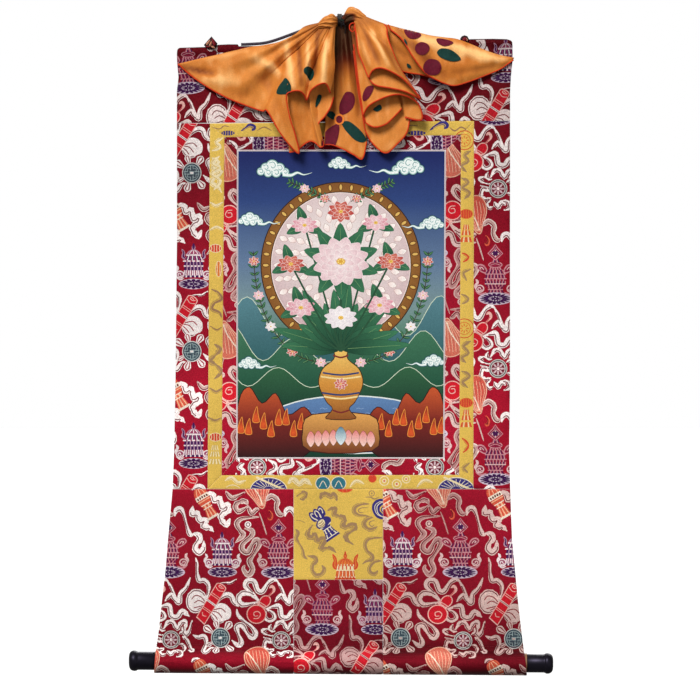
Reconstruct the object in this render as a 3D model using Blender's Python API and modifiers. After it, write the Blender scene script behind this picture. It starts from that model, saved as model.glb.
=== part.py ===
"""A painted scroll on a brocade mount, hung by its cord, with its silk cover gathered up.

Metres, +Z up. The front of the cloth faces -Y, and X runs to the right as one looks at it.
The origin is the top of the hanging cord, where a nail or hook takes the scroll.

All tables and named sizes are in millimetres. A place on the scroll is given by x, by its
drop below the hanging point, and by how far out it stands towards the viewer.
"""

import math

import bmesh
import bpy
from mathutils import Vector

MM = 0.001

# ---------------------------------------------------------------- driving sizes
CLOTH = 2.0                   # thickness of every sheet of cloth
SEAM_GAP = 0.3                # left between two pieces that are sewn edge to edge

TOP_LEFT = (-265.6, 54.0)     # corners of the mount: x, drop
TOP_RIGHT = (271.2, 41.5)
TOP_SEAM = (174.8, 170.8)     # drop of the seam under the top panel, at the left and the right
LOW_SEAM = 760.0              # drop of the seam over the lower panels

# Corners of the frames round the picture: top left, top right, bottom right, bottom left.
YELLOW_OUTSIDE = ((-212.8, 175.0), (209.6, 171.0), (208.5, 760.0), (-216.6, 760.0))
YELLOW_INSIDE = ((-189.8, 197.0), (188.8, 194.0), (185.9, 737.5), (-194.2, 738.0))
PICTURE = ((-168.5, 218.5), (163.7, 218.5), (161.4, 710.4), (-169.8, 710.4))

PATCH_LEFT = -78.9            # the square of yellow brocade under the picture
PATCH_RIGHT = 64.0
PATCH_BOTTOM = 905.0

PIPING = 1.6                  # diameter of the cord of silk round the picture

ROLLER_RADIUS = 16.0
ROLLER_ENDS = (-300.2, 293.9)
ROLLER_DROP = 1036.9          # drop of the roller's axis, below the middle of the cord
ROLLER_SLOPE = 0.0068         # it hangs a little lower at the right
SLEEVE_CLEARANCE = 0.5
SLEEVE_SAG = 1.3              # slack of the sleeve under the roller

CORD_RADIUS = 2.4
TIE_CORD_RADIUS = 1.2

# The mount's free sides: drop, x of the left side, x of the right side.
MOUNT_SIDES = (
    (30.0, -265.6, 271.2),
    (74.0, -265.8, 271.4),
    (101.0, -263.2, 268.6),
    (124.0, -265.8, 267.4),
    (360.0, -265.6, 267.2),
    (600.0, -268.2, 267.2),
    (700.0, -270.2, 265.8),
    (760.0, -272.8, 267.5),
    (840.0, -280.0, 270.6),
    (890.0, -283.8, 275.4),
    (940.0, -289.6, 280.2),
    (990.0, -295.0, 286.0),
    (1019.0, -299.0, 289.8),
    (1058.0, -302.4, 294.4),
)

# The hem at the mount's top: distance below the edge, half thickness, rounding of the corners.
TOP_HEM = (
    (0.0, 1.2, 5.0),
    (1.4, 2.2, 2.2),
    (4.0, 2.6, 0.5),
    (9.0, 2.3, 0.0),
    (13.0, 1.0, 0.0),
)

# Half of the knob's outline, from the middle of its outer end: radius, distance from the roller.
KNOB_PROFILE = (
    (0.0, 42.2),
    (8.0, 41.9),
    (12.6, 40.5),
    (15.2, 38.0),
    (16.4, 34.6),
    (16.5, 32.0),
    (15.9, 29.8),
    (14.9, 28.0),
    (14.7, 25.5),
    (14.7, 0.6),
    (14.1, 0.0),
    (0.0, 0.0),
)

# The hanging cord: x, drop, out. It leaves the top hem, rises to the hanging point and returns.
CORD_ROUTE = (
    (-163.0, 48.8, 0.0),
    (-144.0, 48.0, 0.0),
    (-126.0, 46.4, 0.2),
    (-108.0, 41.8, 0.6),
    (-77.0, 30.6, 1.0),
    (-40.0, 16.6, 1.0),
    (-16.0, 7.4, 1.0),
    (0.0, 4.0, 1.0),
    (16.0, 7.2, 1.0),
    (40.0, 16.0, 1.0),
    (80.0, 30.6, 1.0),
    (106.0, 38.8, 0.6),
    (124.0, 41.4, 0.2),
    (144.0, 41.3, 0.0),
    (166.0, 40.8, 0.0),
)

# Outlines of the two folded tabs on the top hem: x, drop.
TAB_LEFT = (
    (-210.4, 36.0),
    (-200.6, 47.6),
    (-203.0, 54.6),
    (-209.6, 57.2),
    (-218.4, 55.0),
    (-222.6, 49.8),
)
TAB_RIGHT = (
    (188.2, 45.4),
    (187.4, 39.6),
    (190.0, 35.8),
    (194.5, 34.2),
    (199.0, 35.8),
    (201.4, 40.2),
    (200.6, 45.2),
    (194.4, 47.0),
)

# The gathered neck of the silk cover: x, then drop and out of its middle, then the two radii.
NECK = (
    (-39.0, 19.0, 21.0, 4.0, 5.0),
    (-31.0, 16.0, 21.5, 8.0, 8.0),
    (-18.0, 13.0, 20.0, 11.0, 9.0),
    (-11.0, 13.0, 15.5, 7.6, 7.2),
    (-7.2, 13.0, 12.2, 4.6, 4.6),
    (-2.8, 13.0, 12.2, 4.6, 4.6),
    (1.0, 11.0, 13.5, 7.2, 6.5),
    (8.0, 6.0, 15.0, 12.8, 8.0),
    (17.0, 4.2, 16.0, 12.8, 9.0),
    (27.0, 6.0, 17.0, 9.6, 8.4),
    (37.0, 9.0, 18.0, 4.6, 5.0),
)
WAIST = (4, 5)                # the rows of the neck that the tie goes round

# The cover is one cloth, drawn up at the neck. Each of its folds is a fan of rays, in order
# across the fold. A ray starts on the line between the fold's two roots, in the neck, bends
# over its shoulder and ends at the hem. Roots are x, drop, out, and SLACK is how far the line
# between them sags, where a fold hangs clear under the tie.
ROOTS = {
    "left_front": ((-33.0, 14.5, 22.0), (-12.0, 11.0, 21.5)),
    "left_inner": ((-30.0, 17.0, 18.0), (-14.0, 14.0, 16.5)),
    "centre": ((-22.0, 19.0, 14.0), (16.0, 11.0, 9.5)),
    "right_front": ((10.0, 8.0, 22.5), (30.0, 3.0, 23.0)),
    "right_mouth": ((12.0, 9.0, 19.2), (29.0, 7.0, 19.5)),
    "right_middle": ((11.0, 10.0, 16.0), (27.0, 9.0, 16.0)),
    "right_hollow": ((12.0, 11.0, 12.8), (25.0, 9.0, 12.8)),
    "right_lobe": ((11.0, 12.0, 9.6), (23.0, 9.0, 9.6)),
}

SLACK = {"centre": 6.5}

# Rays of each fold: shoulder x, drop, out, then hem x, drop, out.
FOLDS = {
    "left_front": (
        (-150.0, 54.0, 8.0, -259.0, 80.0, 4.5),
        (-147.0, 68.0, 17.0, -240.0, 101.0, 5.5),
        (-142.0, 82.0, 14.0, -212.0, 120.0, 8.0),
        (-136.0, 96.0, 19.0, -184.0, 135.0, 9.0),
        (-124.0, 102.0, 12.0, -157.0, 146.0, 10.0),
        (-108.0, 92.0, 11.0, -138.0, 153.0, 9.0),
        (-94.0, 84.0, 16.0, -127.0, 156.0, 12.0),
        (-84.0, 92.0, 29.0, -120.0, 157.0, 23.0),
        (-86.0, 112.0, 33.0, -99.0, 193.0, 26.0),
        (-88.0, 128.0, 34.0, -71.0, 224.0, 21.0),
        (-88.0, 122.0, 34.0, -76.0, 195.0, 27.0),
        (-88.0, 116.0, 34.0, -85.0, 165.0, 30.0),
        (-84.0, 104.0, 35.0, -90.0, 133.0, 33.0),
        (-72.0, 98.0, 39.0, -82.0, 126.0, 38.0),
        (-64.0, 98.0, 41.0, -70.0, 125.0, 41.0),
        (-57.0, 102.0, 35.0, -62.0, 131.0, 35.0),
        (-52.0, 104.0, 28.0, -58.0, 139.0, 29.0),
        (-45.0, 96.0, 37.0, -51.0, 124.0, 38.0),
        (-35.0, 90.0, 43.0, -38.0, 115.0, 45.0),
        (-23.0, 90.0, 42.0, -27.0, 114.0, 44.0),
        (-14.0, 92.0, 34.0, -20.0, 128.0, 36.0),
    ),
    "left_inner": (
        (-80.0, 120.0, 23.0, -76.0, 214.0, 16.0),
        (-66.0, 122.0, 18.0, -62.0, 209.0, 12.0),
        (-56.0, 124.0, 16.0, -52.0, 204.0, 12.0),
        (-50.0, 124.0, 18.0, -44.0, 207.0, 15.0),
        (-54.0, 132.0, 24.0, -36.0, 214.0, 25.0),
        (-46.0, 130.0, 20.0, -31.0, 208.0, 20.0),
        (-40.0, 118.0, 17.0, -40.0, 180.0, 20.0),
        (-31.0, 112.0, 18.0, -29.0, 165.0, 25.0),
        (-21.0, 106.0, 19.0, -20.0, 150.0, 28.0),
        (-14.0, 98.0, 19.0, -15.0, 134.0, 26.0),
    ),
    "centre": (
        (-26.0, 120.0, 9.0, -30.0, 209.0, 8.0),
        (-11.0, 116.0, 11.0, -16.0, 210.0, 9.0),
        (0.0, 112.0, 6.0, 3.0, 218.0, 10.0),
        (11.0, 112.0, 10.0, 18.0, 226.0, 11.0),
        (20.0, 116.0, 7.0, 31.0, 232.0, 12.0),
        (28.0, 118.0, 5.2, 38.0, 205.0, 8.0),
    ),
    "right_front": (
        (26.0, 66.0, 33.0, 41.0, 104.0, 41.0),
        (42.0, 62.0, 42.0, 47.0, 93.0, 47.0),
        (57.0, 58.0, 45.0, 60.0, 89.0, 49.0),
        (68.0, 60.0, 44.0, 79.0, 96.0, 48.0),
        (76.0, 64.0, 40.0, 99.0, 109.0, 45.0),
        (78.0, 66.0, 34.0, 125.0, 139.0, 36.0),
    ),
    "right_mouth": (
        (28.0, 70.0, 25.0, 42.0, 106.0, 37.0),
        (43.0, 72.0, 30.0, 52.0, 116.0, 39.0),
        (60.0, 74.0, 31.0, 78.0, 121.0, 39.0),
        (72.0, 76.0, 29.0, 99.0, 126.0, 36.0),
        (82.0, 80.0, 25.0, 122.0, 137.0, 30.0),
    ),
    "right_middle": (
        (24.0, 100.0, 19.0, 32.0, 163.0, 26.0),
        (37.0, 98.0, 24.0, 40.0, 149.0, 33.0),
        (55.0, 92.0, 25.0, 59.0, 138.0, 34.0),
        (70.0, 92.0, 24.0, 80.0, 131.0, 34.0),
        (82.0, 94.0, 21.0, 98.0, 132.0, 31.0),
        (94.0, 104.0, 18.0, 120.0, 145.0, 24.0),
        (96.0, 108.0, 15.0, 126.0, 170.0, 20.0),
        (90.0, 110.0, 12.0, 107.0, 168.0, 14.0),
    ),
    "right_hollow": (
        (25.0, 112.0, 16.0, 36.0, 175.0, 22.0),
        (40.0, 112.0, 17.0, 50.0, 182.0, 24.0),
        (54.0, 110.0, 17.0, 67.0, 178.0, 23.0),
        (66.0, 108.0, 16.0, 79.0, 168.0, 22.0),
        (78.0, 108.0, 13.0, 94.0, 152.0, 18.0),
    ),
    "right_lobe": (
        (24.0, 120.0, 11.5, 36.0, 188.0, 13.0),
        (37.0, 122.0, 10.5, 47.0, 207.0, 12.0),
        (50.0, 120.0, 10.0, 68.0, 223.0, 14.0),
        (63.0, 116.0, 9.0, 87.0, 208.0, 13.0),
        (75.0, 114.0, 7.5, 102.0, 190.0, 12.0),
        (84.0, 114.0, 6.0, 105.0, 166.0, 10.0),
    ),
}

# The cover's right wing is doubled along its upper edge. Its rays run from that edge down to
# the hem: upper edge x, drop, out, then hem x, drop, out, then the belly between them.
WINGS = {
    "right_back": (
        (24.0, 0.5, 17.0, 30.0, 12.0, 15.0, 0.0),
        (43.0, 7.5, 15.0, 50.0, 24.0, 13.0, 0.0),
        (60.0, 14.0, 14.5, 74.0, 54.0, 11.0, 2.0),
        (80.0, 21.0, 13.0, 96.0, 74.0, 9.0, 4.0),
        (107.0, 27.0, 11.0, 126.0, 93.0, 8.0, 2.0),
        (141.0, 35.0, 8.0, 152.0, 106.0, 8.0, 0.0),
    ),
    "right_wing": (
        (72.0, 18.2, 15.0, 76.0, 26.0, 20.0, 0.0),
        (91.0, 23.4, 13.4, 95.0, 43.0, 25.0, 2.0),
        (107.0, 27.0, 12.2, 111.0, 69.0, 27.0, 4.0),
        (123.0, 31.0, 11.0, 128.0, 92.0, 25.0, 4.0),
        (141.0, 35.0, 9.6, 141.0, 102.0, 21.0, 4.0),
        (163.0, 38.0, 9.5, 163.0, 112.0, 15.0, 5.0),
        (182.0, 40.5, 9.5, 179.0, 115.0, 12.0, 6.0),
        (203.0, 48.0, 8.5, 200.0, 109.0, 9.0, 6.0),
        (227.0, 58.0, 6.5, 226.0, 99.0, 7.0, 5.0),
        (251.0, 66.0, 5.5, 250.0, 89.0, 5.5, 3.0),
        (273.5, 70.0, 5.0, 272.5, 74.0, 5.0, 0.0),
    ),
}


# ---------------------------------------------------------------- helpers
def clear_scene():
    for thing in list(bpy.data.objects):
        bpy.data.objects.remove(thing, do_unlink=True)


def new_collection(name):
    collection = bpy.data.collections.new(name)
    bpy.context.scene.collection.children.link(collection)
    return collection


def material(name, colour, roughness, metallic=0.0):
    made = bpy.data.materials.new(name)
    made.use_nodes = True
    shader = made.node_tree.nodes["Principled BSDF"]
    shader.inputs["Base Color"].default_value = (*colour, 1.0)
    shader.inputs["Roughness"].default_value = roughness
    shader.inputs["Metallic"].default_value = metallic
    return made


def place(x, drop, out):
    """A place of the tables, as a point in metres."""
    return Vector((x * MM, -out * MM, -drop * MM))


def blend(a, b, share):
    return tuple(p + (q - p) * share for p, q in zip(a, b))


def ease(value, start, end):
    """0 before start, 1 after end, and a smooth rise between them."""
    share = min(max((value - start) / (end - start), 0.0), 1.0)
    return share * share * (3.0 - 2.0 * share)


def along(rows, share):
    """A smooth curve through rows of numbers, read at a share of its way from 0 to 1."""
    last = len(rows) - 1
    step = min(int(share * last), last - 1)
    t = share * last - step
    before = rows[max(step - 1, 0)]
    after = rows[min(step + 2, last)]
    return tuple(
        0.5 * (2.0 * p1 + (p2 - p0) * t
               + (2.0 * p0 - 5.0 * p1 + 4.0 * p2 - p3) * t * t
               + (3.0 * p1 - p0 - 3.0 * p2 + p3) * t * t * t)
        for p0, p1, p2, p3 in zip(before, rows[step], rows[step + 1], after)
    )


def table_read(rows, value, column):
    """The value of a column of a table at a value of its first column."""
    for low, high in zip(rows, rows[1:]):
        if value <= high[0] or high is rows[-1]:
            share = (value - low[0]) / (high[0] - low[0])
            return low[column] + (high[column] - low[column]) * share
    return rows[-1][column]


def mesh_object(name, mesh, collection, look=None):
    thing = bpy.data.objects.new(name, mesh)
    collection.objects.link(thing)
    if look:
        mesh.materials.append(look)
    return thing


def face_outward(block):
    bmesh.ops.recalc_face_normals(block, faces=block.faces)
    if block.calc_volume(signed=True) < 0.0:
        bmesh.ops.reverse_faces(block, faces=block.faces)


def slab(name, columns, rows, shape, collection, look=None):
    """A sheet of cloth, from a grid of columns by rows that is drawn out to a thin block.

    shape(u, v, w) gives a point in metres: u runs across, v down and w from back to front.
    """
    block = bmesh.new()
    bmesh.ops.create_grid(block, x_segments=columns, y_segments=rows, size=0.5)
    bmesh.ops.translate(block, verts=block.verts, vec=(0.5, 0.5, 0.0))
    drawn = bmesh.ops.extrude_face_region(block, geom=block.faces[:], use_keep_orig=True)
    raised = [part for part in drawn["geom"] if isinstance(part, bmesh.types.BMVert)]
    bmesh.ops.translate(block, verts=raised, vec=(0.0, 0.0, 1.0))
    for corner in block.verts:
        u, v, w = corner.co
        corner.co = shape(u, 1.0 - v, w)
    face_outward(block)
    mesh = bpy.data.meshes.new(name)
    block.to_mesh(mesh)
    block.free()
    mesh.shade_smooth()
    mesh.set_sharp_from_angle(angle=math.radians(50.0))
    return mesh_object(name, mesh, collection, look)


def inset(corners, gaps):
    """A four-sided outline with each side moved in by its gap: top, right, bottom, left."""
    sides = []
    for start, end, gap in zip(corners, corners[1:] + corners[:1], gaps):
        run = Vector((end[0] - start[0], end[1] - start[1])).normalized()
        inward = Vector((-run.y, run.x))
        sides.append((Vector(start) + inward * gap, run))
    moved = []
    for (point, run), (other, way) in zip(sides[-1:] + sides[:-1], sides):
        cross = run.x * way.y - run.y * way.x
        reach = ((other.x - point.x) * way.y - (other.y - point.y) * way.x) / cross
        moved.append(tuple(point + run * reach))
    return tuple(moved)


# ---------------------------------------------------------------- the mount
def left_side(drop):
    return table_read(MOUNT_SIDES, drop, 1)


def right_side(drop):
    return table_read(MOUNT_SIDES, drop, 2)


def sway(x, drop):
    """How far the hung cloth stands out of its plane, in millimetres."""
    free = ease(drop, 240.0, 420.0) * (1.0 - ease(drop, 900.0, 990.0))
    rim = ease(abs(x), 170.0, 275.0)
    turn = 0.8 if x > 0.0 else 2.6
    ripple = 2.6 * rim * math.sin(math.tau * drop / 235.0 + turn)
    belly = 1.6 * math.cos(math.pi * x / 600.0)
    folds = 0.9 * math.sin(math.tau * (x + 40.0) / 190.0) * ease(drop, 740.0, 860.0)
    return free * (ripple + belly + folds)


def roller_drop(x):
    return ROLLER_DROP + ROLLER_SLOPE * x


def flat_panel(name, corners, gaps, columns, rows, collection, look, left=None, right=None):
    """A flat piece of the mount; left and right are the free sides of the cloth, if it has any."""
    outline = inset(corners, gaps)
    top_left, top_right, bottom_right, bottom_left = outline

    def shape(u, v, w):
        start = blend(top_left, bottom_left, v)
        end = blend(top_right, bottom_right, v)
        if left:
            start = (left(start[1]), start[1])
        if right:
            end = (right(end[1]), end[1])
        x, drop = blend(start, end, u)
        return place(x, drop, sway(x, drop) + (w - 0.5) * CLOTH)

    return slab(name, columns, rows, shape, collection, look)


def top_panel(collection, look):
    """The panel over the picture, with the thick hem along its top and rounded corners."""
    half_gap = SEAM_GAP / 2.0
    plain_rows = 4
    rows = len(TOP_HEM) - 1 + plain_rows

    def shape(u, v, w):
        row = round(v * rows)
        edge = TOP_LEFT[1] + (TOP_RIGHT[1] - TOP_LEFT[1]) * u
        seam = TOP_SEAM[0] + (TOP_SEAM[1] - TOP_SEAM[0]) * u - half_gap
        below, half, rounding = TOP_HEM[min(row, len(TOP_HEM) - 1)]
        share = max(row - len(TOP_HEM) + 1, 0) / plain_rows
        drop = edge + below + (seam - edge - below) * share
        start = left_side(drop) + rounding
        end = right_side(drop) - rounding
        return place(start + (end - start) * u, drop, (2.0 * w - 1.0) * half)

    return slab("mount_top", 14, rows, shape, collection, look)


def sleeve_section(x, top, flat_rows):
    """Out and drop of the middle of the cloth, down its front, round the roller and up again."""
    axis = roller_drop(x)
    radius = ROLLER_RADIUS + SLEEVE_CLEARANCE + CLOTH / 2.0
    throat = axis - 27.0
    path = []
    for row in range(flat_rows):
        drop = top + (throat - top) * row / flat_rows
        path.append((sway(x, drop), drop))
    path += [(0.0, throat), (0.3, axis - 22.4), (2.2, axis - 19.2)]
    steps = 18
    for step in range(steps + 1):
        angle = math.radians(20.0 + 320.0 * step / steps)
        slack = SLEEVE_SAG * max(-math.cos(angle), 0.0)
        path.append((radius * math.sin(angle), axis - radius * math.cos(angle) + slack))
    path += [(-3.6, axis - 20.0), (-2.7, axis - 23.6), (-2.5, axis - 35.0)]
    return path


def lower_panel(name, top, start, end, columns, flat_rows, collection, look):
    """A lower panel; start and end give the x of its sides at a drop. Its hem is the sleeve."""
    rows = len(sleeve_section(0.0, top, flat_rows)) - 1
    half_gap = SEAM_GAP / 2.0

    def shape(u, v, w):
        row = round(v * rows)
        x_low = start(ROLLER_DROP) + (end(ROLLER_DROP) - start(ROLLER_DROP)) * u
        path = sleeve_section(x_low, top + half_gap, flat_rows)
        out, drop = path[row]
        before = path[max(row - 1, 0)]
        after = path[min(row + 1, rows)]
        way = Vector((after[0] - before[0], after[1] - before[1])).normalized()
        shift = (w - 0.5) * CLOTH
        x = start(drop) + (end(drop) - start(drop)) * u
        return place(x, drop - way.x * shift, out + way.y * shift)

    return slab(name, columns, rows, shape, collection, look)


def frame_piece(name, outside, inside, side, columns, rows, inner_gap, collection, look):
    """One of the four mitred strips of a frame. Sides count from the top, clockwise."""
    following = (side + 1) % 4
    corners = (outside[side], outside[following], inside[following], inside[side])
    half_gap = SEAM_GAP / 2.0
    gaps = (half_gap, half_gap, inner_gap, half_gap)
    return flat_panel(name, corners, gaps, columns, rows, collection, look)


def build_frames(collection, yellow, red):
    """The two frames round the picture: four mitred strips of yellow, then four of red."""
    piping_room = PIPING / 2.0 + SEAM_GAP
    for side, word in enumerate(("top", "right", "bottom", "left")):
        length_steps = 12 if side % 2 == 0 else 16
        frame_piece(f"yellow_{word}", YELLOW_OUTSIDE, YELLOW_INSIDE, side,
                    length_steps, 1, SEAM_GAP / 2.0, collection, yellow)
        frame_piece(f"red_{word}", YELLOW_INSIDE, PICTURE, side,
                    length_steps, 1, piping_room, collection, red)


def build_mount(collection, red, yellow):
    half_gap = SEAM_GAP / 2.0
    top_panel(collection, red)
    left_corners = (
        (left_side(TOP_SEAM[0]), TOP_SEAM[0]),
        YELLOW_OUTSIDE[0],
        YELLOW_OUTSIDE[3],
        (left_side(LOW_SEAM), LOW_SEAM),
    )
    right_corners = (
        YELLOW_OUTSIDE[1],
        (right_side(TOP_SEAM[1]), TOP_SEAM[1]),
        (right_side(LOW_SEAM), LOW_SEAM),
        YELLOW_OUTSIDE[2],
    )
    flat_panel("mount_left", left_corners, (half_gap, half_gap, half_gap, 0.0),
               3, 18, collection, red, left=left_side)
    flat_panel("mount_right", right_corners, (half_gap, 0.0, half_gap, half_gap),
               3, 18, collection, red, right=right_side)

    def straight(x):
        return lambda drop: x

    lower_panel("mount_lower_left", LOW_SEAM,
                left_side, straight(PATCH_LEFT - half_gap), 6, 7, collection, red)
    lower_panel("mount_lower_middle", PATCH_BOTTOM,
                straight(PATCH_LEFT + half_gap), straight(PATCH_RIGHT - half_gap),
                4, 3, collection, red)
    lower_panel("mount_lower_right", LOW_SEAM,
                straight(PATCH_RIGHT + half_gap), right_side, 6, 7, collection, red)
    patch = ((PATCH_LEFT, LOW_SEAM), (PATCH_RIGHT, LOW_SEAM),
             (PATCH_RIGHT, PATCH_BOTTOM), (PATCH_LEFT, PATCH_BOTTOM))
    flat_panel("door_patch", patch, (half_gap,) * 4, 4, 4, collection, yellow)


def build_picture(collection, paint, silk):
    """The painted cloth, and the thin silk piping sewn round it."""
    room = PIPING / 2.0 + SEAM_GAP
    flat_panel("picture", PICTURE, (room,) * 4, 8, 12, collection, paint)
    steps = 12
    ring = []
    for start, end in zip(PICTURE, PICTURE[1:] + PICTURE[:1]):
        for step in range(steps):
            x, drop = blend(start, end, step / steps)
            ring.append(place(x, drop, sway(x, drop)))
    tube("picture_piping", ring, PIPING / 2.0, 1, collection, silk, closed=True)


# ---------------------------------------------------------------- roller, cords and tabs
def tube(name, points, radius, roundness, collection, look, closed=False):
    """A cord along points in metres, with a round section."""
    curve = bpy.data.curves.new(name, "CURVE")
    curve.dimensions = "3D"
    curve.bevel_depth = radius * MM
    curve.bevel_resolution = roundness
    curve.use_fill_caps = not closed
    spline = curve.splines.new("POLY")
    spline.points.add(len(points) - 1)
    for knot, point in zip(spline.points, points):
        knot.co = (*point, 1.0)
    spline.use_cyclic_u = closed
    curve.materials.append(look)
    thing = bpy.data.objects.new(name, curve)
    collection.objects.link(thing)
    return thing


def build_roller(collection, wood, lacquer):
    """The round rod in the sleeve, and the two turned knobs on its ends."""
    tilt = math.atan(ROLLER_SLOPE)
    start, end = ROLLER_ENDS
    middle = (start + end) / 2.0
    bpy.ops.mesh.primitive_cylinder_add(
        vertices=24,
        radius=ROLLER_RADIUS * MM,
        depth=(end - start) * MM,
        location=place(middle, roller_drop(middle), 0.0),
        rotation=(0.0, math.radians(90.0) + tilt, 0.0),
    )
    rod = bpy.context.active_object
    rod.name = "roller"
    rod.data.name = "roller"
    rod.data.materials.append(wood)
    for other in list(rod.users_collection):
        other.objects.unlink(rod)
    collection.objects.link(rod)
    rod.data.shade_smooth()
    rod.data.set_sharp_from_angle(angle=math.radians(40.0))
    for name, joint, turn in (("knob_left", start - SEAM_GAP, -90.0),
                              ("knob_right", end + SEAM_GAP, 90.0)):
        knob = mesh_object(name, knob_profile(name), collection, lacquer)
        knob.location = place(joint, roller_drop(joint), 0.0)
        knob.rotation_euler = (0.0, math.radians(turn) + tilt, 0.0)
        turned = knob.modifiers.new("turned", "SCREW")
        turned.steps = 24
        turned.render_steps = 24
        turned.use_merge_vertices = True
        turned.merge_threshold = 0.00001
        turned.use_smooth_shade = True


def knob_profile(name):
    """The knob's outline as a line of edges, from its outer end down to the roller."""
    mesh = bpy.data.meshes.new(name)
    points = [(radius * MM, 0.0, height * MM) for radius, height in KNOB_PROFILE]
    edges = [(step, step + 1) for step in range(len(points) - 1)]
    mesh.from_pydata(points, edges, [])
    return mesh


def build_cord(collection, look):
    """The hanging cord, on a smooth curve through its route."""
    steps = 34
    points = [place(*along(CORD_ROUTE, step / steps)) for step in range(steps + 1)]
    tube("hanging_cord", points, CORD_RADIUS, 2, collection, look)


def build_tab(name, outline, thickness, collection, look):
    """A folded tab of ribbon, pressed flat, sewn on the front of the top hem."""
    curve = bpy.data.curves.new(name, "CURVE")
    curve.dimensions = "2D"
    curve.fill_mode = "BOTH"
    curve.extrude = thickness * MM / 2.0
    spline = curve.splines.new("POLY")
    spline.points.add(len(outline) - 1)
    for knot, (x, drop) in zip(spline.points, outline):
        knot.co = (x * MM, -drop * MM, 0.0, 1.0)
    spline.use_cyclic_u = True
    curve.materials.append(look)
    tab = bpy.data.objects.new(name, curve)
    collection.objects.link(tab)
    hem_front = TOP_HEM[2][1]
    tab.location = place(0.0, 0.0, hem_front + SEAM_GAP + thickness / 2.0)
    tab.rotation_euler = (math.radians(90.0), 0.0, 0.0)
    weld = tab.modifiers.new("weld", "WELD")
    weld.merge_threshold = 0.00001
    rounding = tab.modifiers.new("rounding", "BEVEL")
    rounding.width = 0.0006
    rounding.segments = 1
    rounding.limit_method = "ANGLE"


# ---------------------------------------------------------------- the silk cover
def fan(name, rays, steps_across, steps_down, collection):
    """One fold of the cover, as a closed sheet through its rays; each ray is a list of places."""
    columns = (len(rays) - 1) * steps_across

    def middle(u, v):
        return place(*along([along(ray, v) for ray in rays], u))

    def shape(u, v, w):
        step = 0.01
        across = middle(min(u + step, 1.0), v) - middle(max(u - step, 0.0), v)
        down = middle(u, min(v + step, 1.0)) - middle(u, max(v - step, 0.0))
        front = down.cross(across).normalized()
        return middle(u, v) + front * (w - 0.5) * CLOTH * MM

    sheet = slab(name, columns, steps_down, shape, collection)
    sheet.hide_render = True
    sheet.display_type = "WIRE"
    return sheet


def fold_rays(name):
    """Rays of a gathered fold: root, a point on the way, shoulder and hem."""
    first, last = ROOTS[name]
    table = FOLDS[name]
    rays = []
    for number, row in enumerate(table):
        share = number / (len(table) - 1)
        x, drop, out = blend(first, last, share)
        root = (x, drop + SLACK.get(name, 0.0) * 4.0 * share * (1.0 - share), out)
        shoulder, hem = row[:3], row[3:]
        way = blend(root, shoulder, 0.5)
        rays.append((root, way, shoulder, hem))
    return rays


def wing_rays(name):
    """Rays of a wing: upper edge, two points of its belly, and hem."""
    rays = []
    for row in WINGS[name]:
        edge, hem, belly = row[:3], row[3:6], row[6]
        inner = [blend(edge, hem, share) for share in (0.33, 0.66)]
        inner = [(x, drop, out + belly) for x, drop, out in inner]
        rays.append((edge, *inner, hem))
    return rays


def build_cover(collection, cutters, silk):
    """The gathered neck and the folds that hang from it, joined into one cloth."""
    sides = 14
    block = bmesh.new()
    rings = []
    for x, drop, out, tall, deep in NECK:
        ring = []
        for side in range(sides):
            angle = math.tau * side / sides
            centre = place(x, drop - tall * math.cos(angle), out + deep * math.sin(angle))
            ring.append(block.verts.new(centre))
        rings.append(ring)
    for ring, following in zip(rings, rings[1:]):
        for side in range(sides):
            other = (side + 1) % sides
            block.faces.new((ring[side], ring[other], following[other], following[side]))
    block.faces.new(rings[0])
    block.faces.new(rings[-1])
    face_outward(block)
    mesh = bpy.data.meshes.new("cover")
    block.to_mesh(mesh)
    block.free()
    cover = mesh_object("cover", mesh, collection, silk)
    folds = [fan(name, fold_rays(name), 2, 8, cutters) for name in FOLDS]
    folds += [fan(name, wing_rays(name), 1, 6, cutters) for name in WINGS]
    for fold in folds:
        join = cover.modifiers.new(fold.name, "BOOLEAN")
        join.operation = "UNION"
        join.solver = "MANIFOLD"
        join.object = fold
    return cover


def belt(circles, steps):
    """A taut loop round circles of one plane, each given by its middle and radius."""
    loop = []
    for step in range(steps):
        angle = math.tau * step / steps
        way = Vector((math.cos(angle), math.sin(angle)))
        reach, middle, radius = max(
            (Vector(middle).dot(way) + radius, middle, radius) for middle, radius in circles
        )
        loop.append(Vector(middle) + way * radius)
    return loop


def build_cover_tie(collection, look):
    """The tie that holds the gathered silk to the hanging cord."""
    x, drop, out, tall, _ = blend(NECK[WAIST[0]], NECK[WAIST[1]], 0.5)
    cord_middle = CORD_ROUTE[len(CORD_ROUTE) // 2]
    room = SEAM_GAP + TIE_CORD_RADIUS
    circles = (
        ((out, drop), tall + room),
        ((cord_middle[2], cord_middle[1] + 0.6), CORD_RADIUS + room),
    )
    points = [place(x, spot.y, spot.x) for spot in belt(circles, 22)]
    tube("cover_tie", points, TIE_CORD_RADIUS, 1, collection, look, closed=True)


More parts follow.
